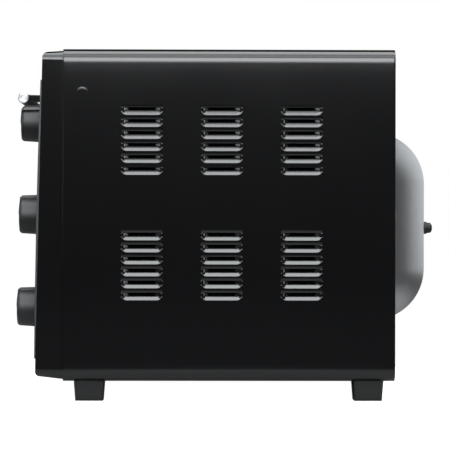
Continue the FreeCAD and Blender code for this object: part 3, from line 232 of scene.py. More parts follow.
def louvre_depth(along, up):
    """
    How far one louvre is pressed in, along from its end and up from its foot: a shallow lip inside
    an outline with rounded lower corners, which turns in steeply above, and two end walls that do
    the same.
    """
    round_by = 5.6 * MM
    middle = louvre_length / 2
    from_end = middle - np.abs(along - middle)
    across, below = round_by - from_end, round_by - up
    inside = round_by - np.hypot(np.maximum(across, 0), np.maximum(below, 0))
    inside = np.where((across < 0) & (below < 0), np.minimum(from_end, up), inside)
    lip = folded(inside, lip_slope) + hood_slope * np.maximum(up - lip_height, 0)
    ends = (folded(from_end, rim_slope) + folded(from_end - rim_width, end_slope)
            + hood_slope * np.maximum(from_end - end_width, 0))
    depth = np.where(up > lip_height + 1e-6, np.minimum(ends, lip), lip)
    return np.where((up < -1e-9) | (up > louvre_height + 1e-9), 0, depth)


def rib_height(along, up):
    """Height of the pressed rib: a full-round strip with eased edges."""
    half = rib_width / 2
    middle = np.clip(up, rib_foot + half, rib_foot + rib_length - half)
    inside = half - np.hypot(along - rib_front - half, up - middle)
    return rib_rise * smooth_step(inside / (2.4 * MM))


def stretch(start, end, step):
    """Evenly spread values from start to end, about a step apart, both ends included."""
    return np.linspace(start, end, max(int(round(abs(end - start) / step)), 1) + 1)


def quarter(centre, radius, start, end, count):
    """Points on an arc of a circle, from one angle to another in quarter turns."""
    angles = np.linspace(start, end, count) * math.pi / 2
    return centre[0] + radius * np.cos(angles), centre[1] + radius * np.sin(angles)


def grid_faces(tall, wide, keep=None, closed=False):
    """Quads of a grid of points stored row by row, less those that the mask leaves out."""
    rows_of, columns_of = np.meshgrid(np.arange(tall - 1), np.arange(wide if closed else wide - 1),
                                      indexing="ij")
    after = (columns_of + 1) % wide
    quads = np.stack([rows_of * wide + columns_of, rows_of * wide + after,
                      (rows_of + 1) * wide + after, (rows_of + 1) * wide + columns_of], axis=-1)
    return quads.reshape(-1, 4) if keep is None else quads[keep]


louvre_steps = np.concatenate([[0, 0.2, 0.4, 0.8], stretch(1.2, 2.8, 0.5), [3.2, 3.25, 3.45],
                               stretch(3.8, 6.6, 0.7)]) * MM
end_steps = np.concatenate([[0, 0.2, 0.4, 0.8], stretch(1.2, 6.5, 0.6), [6.55]]) * MM
feet_of_louvres = np.array([foot + row * louvre_pitch for foot in louvre_groups
                            for row in range(louvre_rows)])
starts_of_louvres = first_column + np.arange(louvre_columns) * column_pitch
cut_width = 0.02 * MM
end_of_rib = stretch(0, rib_width / 2, 0.7 * MM)
rows = np.concatenate([(feet_of_louvres[:, None] + louvre_steps).ravel(),
                       feet_of_louvres + louvre_height, feet_of_louvres + louvre_height + cut_width,
                       feet_of_louvres - 0.4 * MM,
                       stretch(wrap_foot + corner, wrap_top - corner, 8 * MM),
                       wrap_top - corner - stretch(0, 16 * MM, 2 * MM),
                       rib_foot + end_of_rib, rib_foot + rib_length - end_of_rib,
                       (rib_foot - 0.5 * MM, rib_foot + rib_length + 0.5 * MM)])
rows = np.unique(np.round(rows, 7))
columns = np.concatenate([(starts_of_louvres[:, None] + end_steps).ravel(),
                          (starts_of_louvres[:, None] + louvre_length - end_steps).ravel(),
                          starts_of_louvres - 0.4 * MM, starts_of_louvres + louvre_length + 0.4 * MM,
                          stretch(wrap_front + 30 * MM, wrap_rear - 2 * MM, 12 * MM),
                          rib_front + rib_width * stretch(0, 1, 1 / 16),
                          (rib_front - 0.5 * MM, rib_front + rib_width + 0.5 * MM),
                          wrap_front + np.array([0, 0.3, 0.8, 2]) * MM,
                          wrap_rear - np.array([0, 0.3, 0.8, 2]) * MM])
columns = np.unique(np.round(columns, 7))

foot_bend = quarter((half_width - corner, wrap_foot + corner), corner, -1, 0, 11)
top_bend = quarter((half_width - corner, wrap_top - corner), corner, 0, 1, 11)
flange = stretch(half_width - turned_edge, half_width - corner, 8 * MM)[:-1]
side_rows = rows[(rows > wrap_foot + corner + 1e-6) & (rows < wrap_top - corner - 1e-6)]
roof = stretch(half_width - corner, 0, 20 * MM)[1:]
section_x = np.concatenate([flange, foot_bend[0], np.full(side_rows.size, half_width), top_bend[0], roof])
section_z = np.concatenate([np.full(flange.size, wrap_foot), foot_bend[1], side_rows, top_bend[1],
                            np.full(roof.size, wrap_top)])
section_x = np.concatenate([section_x, -section_x[-2::-1]])
section_z = np.concatenate([section_z, section_z[-2::-1]])

across_step, up_step = np.gradient(section_x), np.gradient(section_z)
step_length = np.hypot(across_step, up_step)
out_x, out_z = up_step / step_length, -across_step / step_length
on_side = np.abs(np.abs(section_x) - half_width) < 1e-6

along, up = np.meshgrid(columns, section_z)
press = np.zeros(along.shape)
for start in starts_of_louvres:
    for foot in feet_of_louvres:
        within = (along >= start) & (along <= start + louvre_length)
        press += np.where(within, louvre_depth(along - start, up - foot), 0)
lift = np.where(on_side[:, None], rib_height(along, up) - press, 0)
# the side eases in over the last few centimetres before the upper fold, and the roof lies as low
below_fold = np.maximum(wrap_top - corner - section_z, 0)[:, None]
lift = lift - fold_ease * np.exp(-below_fold / (14 * MM))
# the sheet's cut front and rear edges are rolled in a little
edge_gap = np.minimum(columns - wrap_front, wrap_rear - columns)
lift = lift - 0.15 * MM * (1 - smooth_step(edge_gap / (0.8 * MM)))
wrap_points = np.stack([section_x[:, None] + out_x[:, None] * lift, along,
                        up + out_z[:, None] * lift], axis=-1)

# each louvre is cut free along its upper edge
cut_line = ((np.abs(np.diff(up, axis=0))[:, :-1] < 2 * cut_width)
            & (np.maximum(press[:-1, :-1], press[:-1, 1:]) > 0.05 * MM))
wrap_faces = grid_faces(*along.shape, keep=~cut_line)
# the faces point into the oven, so the sheet's thickness goes outwards from them
outer_wrap = mesh_object("wrap_shell", wrap_points, wrap_faces[:, ::-1], black_powder)
outer_wrap.data.set_sharp_from_angle(angle=math.radians(28))


def give_wall(thing, thickness):
    """Give a surface the thickness of its sheet, on the side that its faces turn away from."""
    solidify = thing.modifiers.new("sheet", "SOLIDIFY")
    solidify.thickness = thickness
    solidify.offset = -1
    return thing


def settle(thing, body, slot, *nodes):
    """Say what body a piece rides on and which frame pieces it stands for. The slot, naming the finish it
    takes, is not used.
    """
    if nodes:
        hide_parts(*nodes)
    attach(thing, body)
    return thing


give_wall(outer_wrap, wall)
settle(outer_wrap, "case", "black_paint", "outer_wrap")

# ---------------------------------------------------------------- floor, feet and their screws
# The floor is plain aluminised sheet, slotted for air. Each foot is a moulded polypropylene block
# with drafted sides, held by one zinc-plated screw up through its middle.


def softened(node, name, material, round_by, sharp=30):
    """A copy of a frame piece with its edges rounded, as its mould or its press leaves them."""
    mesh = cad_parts[node].data.copy()
    mesh.name = name
    shape = bmesh.new()
    shape.from_mesh(mesh)
    bmesh.ops.remove_doubles(shape, verts=shape.verts, dist=0.002 * MM)
    bmesh.ops.dissolve_limit(shape, angle_limit=math.radians(0.6), verts=shape.verts, edges=shape.edges)
    # rounding can lay a face across an opening, so faces with many corners are cut up first
    many_sided = [face for face in shape.faces if len(face.verts) > 4]
    bmesh.ops.triangulate(shape, faces=many_sided)
    shape.to_mesh(mesh)
    shape.free()
    mesh.materials.clear()
    mesh.materials.append(material)
    mesh.polygons.foreach_set("use_smooth", np.full(len(mesh.polygons), True))
    mesh.set_sharp_from_angle(angle=math.radians(sharp))
    thing = bpy.data.objects.new(name, mesh)
    bpy.context.scene.collection.objects.link(thing)
    bevel = thing.modifiers.new("edges", "BEVEL")
    bevel.width = round_by
    bevel.segments = 3
    bevel.limit_method = "ANGLE"
    bevel.angle_limit = math.radians(sharp)
    # flat faces keep their own normals right up to the rounds
    weighted = thing.modifiers.new("flats", "WEIGHTED_NORMAL")
    weighted.keep_sharp = True
    weighted.weight = 100
    return thing


def dress(material, *nodes):
    """Give frame pieces that stay as they are their real finish."""
    for node in nodes:
        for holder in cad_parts[node].material_slots:
            holder.material = material


# hot-dip aluminised sheet: a soft silver grey, dull from the rolls, with faint streaks along them
aluminised, tree, output = new_material("hot_dip_aluminised_steel")
streak = add(tree, "TexNoise", {"Vector": object_place(tree, 1 / (1.2 * MM), 1 / (40 * MM), 1 / (40 * MM))},
             Scale=1, Detail=3)
spangle = grain(tree, 9 * MM, 4)
worn = add(tree, "MixRGB", {"Fac": streak.outputs["Fac"]}, Color1=hex_colour("#9fa0a1"),
           Color2=hex_colour("#b3b4b5"))
dull = add(tree, "MapRange", {"Value": spangle.outputs["Fac"]}, To_Min=0.34, To_Max=0.46)
relief = add(tree, "Bump", {"Height": streak.outputs["Fac"]}, Strength=0.1, Distance=0.02 * MM)
skin(tree, output, {"Base Color": worn.outputs[0], "Roughness": dull.outputs[0],
                    "Normal": relief.outputs[0]}, Metallic=1.0)
dress(aluminised, "base_plate", "front_plate", "rack_rails", "tray_rails", "heat_shield", "cavity_shell")

# moulded polypropylene: dark grey, slightly waxy, with a fine eroded texture of 0.4 mm
foot_plastic, tree, output = new_material("textured_polypropylene")
grit = grain(tree, 0.4 * MM, 1)
relief = add(tree, "Bump", {"Height": grit.outputs["Fac"]}, Strength=0.3, Distance=0.03 * MM)
skin(tree, output, {"Normal": relief.outputs[0]}, Base_Color=hex_colour("#0a0a0b"),
     Roughness=0.32, IOR=1.49)
for foot_name in ("foot_front_left", "foot_rear_left", "foot_front_right", "foot_rear_right"):
    foot = softened(foot_name, foot_name + "_moulded", foot_plastic, 0.5 * MM)
    settle(foot, "case", "foot_plastic", foot_name)

# bright zinc plate over steel: a pale, faintly blue metal with a little grain
zinc, tree, output = new_material("bright_zinc_plate")
crystal = grain(tree, 0.8 * MM)
dull = add(tree, "MapRange", {"Value": crystal.outputs["Fac"]}, To_Min=0.22, To_Max=0.38)
skin(tree, output, {"Roughness": dull.outputs[0]}, Base_Color=hex_colour("#b9bdc2"),
     Metallic=1.0)


def closed_mesh(name, shells, material, sharp=40):
    """Join shells of (points, faces), merge what coincides and turn every face outwards."""
    points, faces, start = [], [], 0
    for shell_points, shell_faces in shells:
        shell_points = np.asarray(shell_points, float).reshape(-1, 3)
        points.append(shell_points)
        faces.append(np.asarray(shell_faces) + start)
        start += len(shell_points)
    thing = mesh_object(name, np.concatenate(points), np.concatenate(faces), material)
    shape = bmesh.new()
    shape.from_mesh(thing.data)
    bmesh.ops.remove_doubles(shape, verts=shape.verts, dist=0.001 * MM)
    bmesh.ops.recalc_face_normals(shape, faces=shape.faces)
    shape.to_mesh(thing.data)
    shape.free()
    thing.data.set_sharp_from_angle(angle=math.radians(sharp))
    return thing


def turned(radius, along, place, around=48, angles=None):
    """
    A turned surface: at each step of its profile, a ring of that radius at that distance along its
    axis. Radius and distance may also change with the angle, which starts at the local up.
    """
    if angles is None:
        angles = np.arange(around) * 2 * math.pi / around
    shape = (len(radius), angles.size)
    radius = np.broadcast_to(np.asarray(radius, float).reshape(len(radius), -1), shape)
    along = np.broadcast_to(np.asarray(along, float).reshape(len(along), -1), shape)
    local = np.stack([radius * np.sin(angles), along, radius * np.cos(angles)], axis=-1)
    return place(local), grid_faces(*shape, closed=True)


def pan_head(place, radius, rise, shank_radius, shank_length):
    """A domed screw head with a cross recess, facing local -Y, and its shank."""
    share = np.concatenate([stretch(0, 0.6, 0.04), stretch(0.66, 1, 0.08)])
    angles = np.arange(48) * 2 * math.pi / 48
    ring = share[:, None] * radius
    across, upwards = np.abs(ring * np.sin(angles)), np.abs(ring * np.cos(angles))
    slot_half, slot_reach, slot_deep = 0.16 * radius, 0.55 * radius, 0.45 * rise
    near_line = smooth_step((slot_half + 0.1 * MM - np.minimum(across, upwards)) / (0.12 * MM))
    near_middle = smooth_step((slot_reach - ring) / (0.2 * radius))
    top = -rise * np.sqrt(np.maximum(1 - 0.5 * share[:, None] ** 2, 0)) + slot_deep * near_line * near_middle
    shank = np.array([(radius, 0), (shank_radius, 0), (shank_radius, shank_length), (0, shank_length)])
    ring = np.concatenate([ring + 0 * angles, shank[:, :1] + 0 * angles])
    depth = np.concatenate([top, shank[:, 1:] + 0 * angles])
    return turned(ring, depth, place, angles=angles)


def upright_from(spot):
    """Local axes for a screw that goes up from a place under the floor."""
    def place(local):
        return np.stack([local[..., 0], -local[..., 2], local[..., 1]], axis=-1) + np.asarray(spot)
    return place


foot_roof, screw_radius, screw_rise, screw_shank = 5 * MM, 3.4 * MM, 1.6 * MM, 1.6 * MM
foot_across = half_width - 9 * MM - 15.5 * MM
foot_runs = (wrap_front + 9.6 * MM + 14.4 * MM, wrap_rear - 9.6 * MM - 14.4 * MM)
foot_screws = closed_mesh("foot_screw_set", [
    pan_head(upright_from((sign * foot_across, run, wrap_foot - foot_roof - 0.03 * MM)), screw_radius,
             screw_rise, screw_shank, foot_roof + 2 * wall + 1.5 * MM)
    for sign in (-1, 1) for run in foot_runs], zinc)
settle(foot_screws, "case", "zinc_steel", "foot_screws")

# ---------------------------------------------------------------- back
# A powder-painted cover is screwed inside the wrap's rear edge. Through its opening shows the back
# of the cavity, pressed out in one bare aluminised bulge that is round in plan. A rubber stop on
# the bulge keeps it off the wall, and a rubber bush lines the hole for the cord.

dress(black_powder, "back_panel")

bulge_x = -57 * MM
bulge_radius, bulge_reach, bulge_round, bulge_turn = 172 * MM, 53.4 * MM, 53 * MM, math.radians(62)
bulge_low, bulge_high = 118 * MM, 205 * MM
lining, cavity_gap = 0.6 * MM, 16 * MM
bulge_axis = wrap_rear + bulge_reach - bulge_radius
seat = wrap_rear - cavity_gap
back_low, back_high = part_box("cavity_back")
rise = bulge_round * math.sin(bulge_turn)
knee = bulge_round * (1 - math.cos(bulge_turn))


def bulge_radius_at(up):
    """
    How far the bulge's outside is from its upright axis at a height: a flat back between two arcs
    that each run out along a straight slope.
    """
    past = np.maximum(np.maximum(bulge_low - up, up - bulge_high), 0)
    on_arc = bulge_round - np.sqrt(np.maximum(bulge_round ** 2 - np.minimum(past, rise) ** 2, 0))
    return bulge_radius - np.where(past < rise, on_arc, knee + (past - rise) * math.tan(bulge_turn))


def cavity_back_face(across, up):
    """Outside of the cavity's back: the bulge blended into the flat plate by a 5 mm round."""
    reach = bulge_radius_at(up)
    chord = np.maximum(reach, 0) ** 2 - np.minimum(across ** 2, reach ** 2)
    bulge = bulge_axis + np.sqrt(chord) * np.sign(reach)
    bulge = np.where(reach > np.abs(across), bulge, seat - 40 * MM)
    blend = 5 * MM
    share = np.clip(0.5 + 0.5 * (bulge - seat) / blend, 0, 1)
    return seat * (1 - share) + bulge * share + blend * share * (1 - share)


half_back = max(back_high[0] - bulge_x, bulge_x - back_low[0])
across_steps = stretch(-half_back, half_back, 2.5 * MM)
up_steps = stretch(back_low[2], back_high[2], 2.5 * MM)
across, up = np.meshgrid(across_steps, up_steps)
back_depth = np.minimum(cavity_back_face(across, up), back_high[1])
back_points = np.stack([across + bulge_x, back_depth, up], axis=-1)
pressed_back = mesh_object("pressed_cavity_back", back_points, grid_faces(*across.shape)[:, ::-1],
                           aluminised)
give_wall(pressed_back, lining)
settle(pressed_back, "case", "bare_steel", "cavity_back")

# vulcanised rubber: near black, dull, with the fine matt bloom of the mould
rubber, tree, output = new_material("vulcanised_rubber")
bloom = grain(tree, 0.5 * MM)
relief = add(tree, "Bump", {"Height": bloom.outputs["Fac"]}, Strength=0.2, Distance=0.03 * MM)
skin(tree, output, {"Normal": relief.outputs[0]}, Base_Color=hex_colour("#0c0c0c"),
     Roughness=0.5, IOR=1.52)


def standing(spot):
    """Local axes at a place, along the world's own."""
    def place(local):
        return local + np.asarray(spot)
    return place


def rounded(corners, radius, steps=5):
    """A profile of (radius, along) points with each inner corner rounded by a short curve."""
    corners = np.asarray(corners, float)
    path = [corners[0]]
    for before, here, after in zip(corners, corners[1:], corners[2:]):
        cut_in = min(radius, np.linalg.norm(here - before) / 2.1, np.linalg.norm(after - here) / 2.1)
        start = here + (before - here) / np.linalg.norm(before - here) * cut_in
        end = here + (after - here) / np.linalg.norm(after - here) * cut_in
        for share in np.linspace(0, 1, steps):
            path.append((1 - share) ** 2 * start + 2 * share * (1 - share) * here + share ** 2 * end)
    path.append(corners[-1])
    return np.array(path)


bumper_low, bumper_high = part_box("rear_bumper")
bumper_seat = bulge_axis + bulge_radius + 0.2 * MM
bumper_base, bumper_tip, bumper_stem = 6.4 * MM, 5.4 * MM, 3 * MM
tip = bumper_high[1] - bumper_seat
profile = rounded([(0, bumper_low[1] - bumper_seat), (bumper_stem, bumper_low[1] - bumper_seat),
                   (bumper_stem, 0), (bumper_base, 0), (bumper_base - 0.2 * MM, 0.35 * tip),
                   (bumper_base - 1.0 * MM, 0.42 * tip), (bumper_tip, 0.5 * tip),
                   (bumper_tip - 0.3 * MM, 0.82 * tip), (0.5 * bumper_tip, tip), (0, tip)], 0.8 * MM)
bumper = closed_mesh("rubber_bumper", [turned(profile[:, 0], profile[:, 1], standing(
    (bulge_x, bumper_seat, (bumper_low[2] + bumper_high[2]) / 2)))], rubber)
settle(bumper, "case", "bumper_rubber", "rear_bumper")
gland = softened("cord_gland", "rubber_gland", rubber, 0.4 * MM, 40)
settle(gland, "case", "bumper_rubber", "cord_gland")


def facing_back(spot):
    """Local axes for a screw that goes in from behind."""
    def place(local):
        return np.stack([-local[..., 0], -local[..., 1], local[..., 2]], axis=-1) + np.asarray(spot)
    return place


screws_low, screws_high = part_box("back_screws")
screw_face = screws_high[1] - screw_rise
side_run = screws_high[0] - screw_radius
low_run, high_run = screws_low[2] + screw_radius, screws_high[2] - screw_radius
middle_run = wrap_foot + (wrap_top - wrap_foot) / 2
screw_spots = [(sign * side_run, level) for sign in (-1, 1) for level in (low_run, middle_run, high_run)]
screw_spots += [(sign * half_width / 3, high_run) for sign in (-1, 1)]
back_screws = closed_mesh("back_screw_set", [
    pan_head(facing_back((spot, screw_face, level)), screw_radius, screw_rise, screw_shank, 9 * MM)
    for spot, level in screw_spots], zinc)
settle(back_screws, "case", "zinc_steel", "back_screws")

# ---------------------------------------------------------------- front surround and its plate
# A glass-filled nylon moulding, drafted so that it leans in from the wrap, with a reveal round the
# door and a seat for the control panel. A steel plate behind it carries the cavity and hinges.

# moulded black nylon: satin, with a spark-eroded texture of 0.35 mm
black_nylon, tree, output = new_material("glass_filled_black_nylon")
eroded = grain(tree, 0.35 * MM, 1)
relief = add(tree, "Bump", {"Height": eroded.outputs["Fac"]}, Strength=0.03, Distance=0.01 * MM)
drift = grain(tree, 45 * MM)
sheen = add(tree, "MapRange", {"Value": drift.outputs["Fac"]}, To_Min=0.12, To_Max=0.14)
skin(tree, output, {"Normal": relief.outputs[0], "Roughness": sheen.outputs[0]},
     Base_Color=hex_colour("#0a0a0b"), IOR=1.5)
surround = softened("front_bezel", "front_surround", black_nylon, 1.6 * MM)
settle(surround, "case", "black_moulding", "front_bezel")

# ---------------------------------------------------------------- control panel and its marks
# An extruded fascia with a slight bow from top to bottom, sprayed dark metallic grey. Plain white
# ticks and a few figures are screen printed round each knob.

tilt = math.radians(1.22)
face_foot = wrap_front - 25.8 * MM
DOWN_FACE = np.array([(1, 0, 0), (0, math.cos(tilt), -math.sin(tilt)), (0, math.sin(tilt), math.cos(tilt))])


def leaning(across, depth, up):
    """Local axes at a place on the leaning front face: across, into the face, and up along it."""
    spot = np.array((across, depth, up)) @ DOWN_FACE + (0, face_foot, wrap_foot)

    def place(local):
        return local @ DOWN_FACE + spot
    return place


# sprayed metallic lacquer: grey base with fine aluminium flake under a satin clear coat
lacquer, tree, output = new_material("metallic_grey_lacquer")
flake = add(tree, "TexVoronoi", {"Vector": object_place(tree)}, Scale=1 / (0.3 * MM))
shade = add(tree, "MixRGB", {"Fac": flake.outputs["Distance"]}, Color1=hex_colour("#3c3d3f"),
            Color2=hex_colour("#4a4b4d"))
skin(tree, output, {"Base Color": shade.outputs[0]}, Metallic=0.7, Roughness=0.38,
     Coat_Weight=0.3, Coat_Roughness=0.25)
panel = softened("control_panel", "control_fascia", lacquer, 0.5 * MM)
settle(panel, "case", "panel_lacquer", "control_panel")

# screen-printing ink: flat warm white
white_ink, tree, output = new_material("white_screen_ink")
speck = grain(tree, 0.2 * MM)
shade = add(tree, "MixRGB", {"Fac": speck.outputs["Fac"]}, Color1=hex_colour("#e4e4e0"),
            Color2=hex_colour("#f1f1ee"))
skin(tree, output, {"Base Color": shade.outputs[0]}, Roughness=0.55)

knob_across, knob_low, knob_pitch = 184 * MM, 65.1 * MM, 86.6 * MM
panel_foot, panel_head = 20 * MM, 277 * MM
panel_proud, panel_bow = 1.2 * MM, 1 * MM
ink_thick, ink_gap = 0.05 * MM, 0.005 * MM
tick_inner, tick_outer, tick_width = 21 * MM, 24 * MM, 0.6 * MM
figure_reach, figure_height = 29 * MM, 5.5 * MM


def on_panel(points):
    """Put flat points, across and up in the front face, on the bowed panel, just proud of it."""
    middle = (panel_foot + panel_head) / 2
    bow = panel_bow * (1 - ((points[:, 1] - middle) / (panel_head - middle)) ** 2)
    local = np.stack([points[:, 0], -panel_proud - bow - points[:, 2], points[:, 1]], axis=-1)
    return leaning(0, 0, 0)(local)


def tick(centre, angle, inner, outer, width):
    """A printed stroke that points at a knob's centre, clockwise from twelve o'clock."""
    along = np.array([math.sin(angle), math.cos(angle)])
    side = np.array([along[1], -along[0]]) * width / 2
    flat = [centre + along * reach + side * edge for reach in (inner, outer) for edge in (-1, 1)]
    flat = [flat[0], flat[1], flat[3], flat[2]]
    points = np.array([(*spot, lift) for lift in (ink_gap, ink_thick) for spot in flat])
    faces = [(3, 2, 1, 0), (4, 5, 6, 7), (0, 1, 5, 4), (1, 2, 6, 5), (2, 3, 7, 6), (3, 0, 4, 7)]
    return on_panel(points), faces


def figure(text, centre, height):
    """A printed figure, as a thin solid on the panel."""
    curve = bpy.data.curves.new("figure", "FONT")
    curve.body, curve.size, curve.align_x, curve.align_y = text, height, "CENTER", "CENTER"
    curve.extrude = ink_thick / 2
    curve.resolution_u = 3
    holder = bpy.data.objects.new("figure", curve)
    bpy.context.scene.collection.objects.link(holder)
    bpy.context.view_layer.update()
    mesh = bpy.data.meshes.new_from_object(holder.evaluated_get(bpy.context.evaluated_depsgraph_get()))
    points = np.empty(3 * len(mesh.vertices), np.float32)
    mesh.vertices.foreach_get("co", points)
    faces = [list(face.vertices) for face in mesh.polygons]
    bpy.data.objects.remove(holder)
    bpy.data.meshes.remove(mesh)
    bpy.data.curves.remove(curve)
    points = points.reshape(-1, 3) + (*centre, ink_thick / 2 + ink_gap)
    return on_panel(points), faces


# each dial: its first and last turn in degrees, the gaps between its ticks, and its figures
DIALS = {"timer": (0, 300, 12, ["0", "10", "20", "30", "40", "50", "60"]),
         "function": (0, 240, 4, []),
         "temperature": (-45, 225, 9, ["0", "100", "150", "200"])}
for step, (name, (start, end, gaps, figures)) in enumerate(DIALS.items()):
    centre = np.array([knob_across, knob_low + step * knob_pitch])
    points, faces = [], []
    shells = [tick(centre, math.radians(turn), tick_inner, tick_outer, tick_width)
              for turn in np.linspace(start, end, gaps + 1)]
    for text, turn in zip(figures, np.radians(np.linspace(start, end, max(len(figures), 2)))):
        spot = centre + figure_reach * np.array([math.sin(turn), math.cos(turn)])
        shells.append(figure(text, spot, figure_height))
    for shell_points, shell_faces in shells:
        start_at = sum(len(group) for group in points)
        points.append(shell_points)
        faces += [[point + start_at for point in face] for face in shell_faces]
    marks = mesh_object(f"{name}_marks", np.concatenate(points), faces, white_ink, False)
    settle(marks, "case", "panel_lacquer")

# ---------------------------------------------------------------- indicator lamp
# A red polycarbonate lens pressed into the panel, with a small neon lamp in a sleeve behind it.

red_lens, tree, output = new_material("red_polycarbonate_lens")
flow = grain(tree, 1.5 * MM)
dull = add(tree, "MapRange", {"Value": flow.outputs["Fac"]}, To_Min=0.08, To_Max=0.16)
skin(tree, output, {"Roughness": dull.outputs[0]}, Base_Color=hex_colour("#b01210"),
     IOR=1.58, Transmission_Weight=0.45)
lamp_radius, lamp_up, panel_seat = 3.4 * MM, 196 * MM, 1.4 * MM
panel_face = -panel_proud - panel_bow
profile = rounded([(0, panel_face - 1 * MM), (lamp_radius - 1 * MM, panel_face - 0.7 * MM),
                   (lamp_radius, panel_face), (lamp_radius, panel_seat + 0.1 * MM),
                   (lamp_radius + 1.2 * MM, panel_seat + 0.1 * MM),
                   (lamp_radius + 1.2 * MM, panel_seat + 2 * MM), (lamp_radius, panel_seat + 2 * MM),
                   (lamp_radius, panel_seat + 5 * MM), (0, panel_seat + 5 * MM)], 0.3 * MM)
indicator = closed_mesh("domed_red_lens", [
    turned(profile[:, 0], profile[:, 1], leaning(knob_across, 0, lamp_up))], red_lens)
settle(indicator, "case", "lens_red", "indicator_lens")

neon, tree, output = new_material("neon_lamp_glass")
haze = grain(tree, 2 * MM)
tint = add(tree, "MixRGB", {"Fac": haze.outputs["Fac"]}, Color1=hex_colour("#f0b080"),
           Color2=hex_colour("#f4c8a0"))
skin(tree, output, {"Base Color": tint.outputs[0]}, Roughness=0.08, IOR=1.5,
     Transmission_Weight=0.7)
dress(neon, "indicator_lamp")

# ---------------------------------------------------------------- knobs and the controls behind them
# Each knob is a satin phenolic moulding with a domed face and one pointer rib from its middle over
# its edge, pushed on a zinc-plated shaft. Behind the plate are a clockwork timer with its bell, a
# rotary heat switch and a thermostat, in brown phenolic cases.

knob_black, tree, output = new_material("satin_phenolic_moulding")
fine = grain(tree, 0.3 * MM, 1)
relief = add(tree, "Bump", {"Height": fine.outputs["Fac"]}, Strength=0.15, Distance=0.015 * MM)
drift = grain(tree, 14 * MM)
sheen = add(tree, "MapRange", {"Value": drift.outputs["Fac"]}, To_Min=0.47, To_Max=0.52)
skin(tree, output, {"Normal": relief.outputs[0], "Roughness": sheen.outputs[0]},
     Base_Color=hex_colour("#141415"), IOR=1.55)

knob_radius, knob_length, knob_dome = 17.4 * MM, 16.6 * MM, 1.3 * MM
knob_draft = math.tan(math.radians(2.6))
knob_base = 3.2 * MM
pointer_half, pointer_rise, pointer_ease = 1.5 * MM, 2.3 * MM, 0.35 * MM
shaft_radius, shaft_engaged = 3 * MM, 11.5 * MM
bore_radius, bore_depth = shaft_radius + 0.05 * MM, shaft_engaged + 0.4 * MM
brow_round, ridge_rise = 2 * MM, 0.5 * MM


def knob_points(turn, place):
    """
    A drafted barrel under a dome, with its brow rounded. A rib at twelve o'clock stands off the
    barrel, and a lower ridge follows it on the dome; both ease into the knob at their edges.
    """
    near_rib = np.radians(np.concatenate([stretch(0, 12, 0.5), stretch(14, 30, 3)]))
    all_round = np.radians(stretch(-180, 180, 4)[1:])
    angles = np.unique(np.round(np.concatenate([near_rib, -near_rib, all_round]), 6))
    brow = knob_radius - knob_length * knob_draft
    dome_radius = (brow ** 2 / knob_dome + knob_dome) / 2
    ring = stretch(0, brow, 0.8 * MM)
    barrel = stretch(-knob_length, 0, 0.9 * MM)
    radius = np.concatenate([ring, knob_radius + barrel * knob_draft])
    dome = -knob_length - knob_dome + dome_radius - np.sqrt(dome_radius ** 2 - ring ** 2)
    depth = np.concatenate([dome, barrel])
    along = np.concatenate([[0], np.cumsum(np.hypot(np.diff(radius), np.diff(depth)))])
    spread = np.abs(along - along[ring.size - 1])
    pull = brow_round * 0.42 * np.clip(1 - spread / brow_round, 0, 1) ** 2
    radius, depth = radius - pull, depth + pull * 0.7
    from_rib = np.abs(radius[:, None] * np.sin(angles))
    rib = smooth_step((pointer_half + pointer_ease - from_rib) / pointer_ease)
    rib = rib * (np.cos(angles) > 0)
    over_side = smooth_step((radius - 0.72 * brow) / (0.28 * brow))[:, None]
    on_dome = np.arange(radius.size) < ring.size
    on_face = (smooth_step(np.minimum(radius / (3 * MM), 1)) * on_dome)[:, None]
    outwards = radius[:, None] + pointer_rise * rib * over_side
    upwards = depth[:, None] - ridge_rise * rib * on_face
    bore = np.array([(bore_radius, 0), (bore_radius, -bore_depth), (0, -bore_depth)])
    outwards = np.concatenate([outwards, bore[:, :1] + 0 * angles])
    upwards = np.concatenate([upwards, bore[:, 1:] + 0 * angles])
    return turned(outwards, upwards, place, angles=angles + turn)


for step, name in enumerate(DIALS):
    setting = math.radians(45) if name == "temperature" else 0
    spot = leaning(knob_across, -knob_base, knob_low + step * knob_pitch)
    knob = closed_mesh(f"{name}_dial_knob", [knob_points(setting, spot)], knob_black, 50)
    settle(knob, f"{name}_dial", "knob_plastic", f"{name}_knob")
dress(zinc, "timer_shaft", "function_shaft", "temperature_shaft", "timer_bell")

# moulded phenolic: brown, with pale flecks of its filler
phenolic, tree, output = new_material("brown_phenolic_resin")
fleck = grain(tree, 1.2 * MM, 3)
shade = add(tree, "MixRGB", {"Fac": fleck.outputs["Fac"]}, Color1=hex_colour("#5d3a22"),
            Color2=hex_colour("#7a4f30"))
skin(tree, output, {"Base Color": shade.outputs[0]}, Roughness=0.45, IOR=1.55)
for node in ("thermostat", "function_switch", "timer"):
    control = softened(node, f"{node}_case", phenolic, 0.6 * MM)
    settle(control, "case", "control_resin", node)

# ---------------------------------------------------------------- door
# A nylon surround, rebated for a tinted pane of tempered glass that an inner frame clamps. It hangs
# on two pins along its lower edge, each with a coil spring, in steel ears on the front plate.

frame_of_door = softened("door_frame", "door_surround", black_nylon, 1.2 * MM)
settle(frame_of_door, "door", "black_moulding", "door_frame")

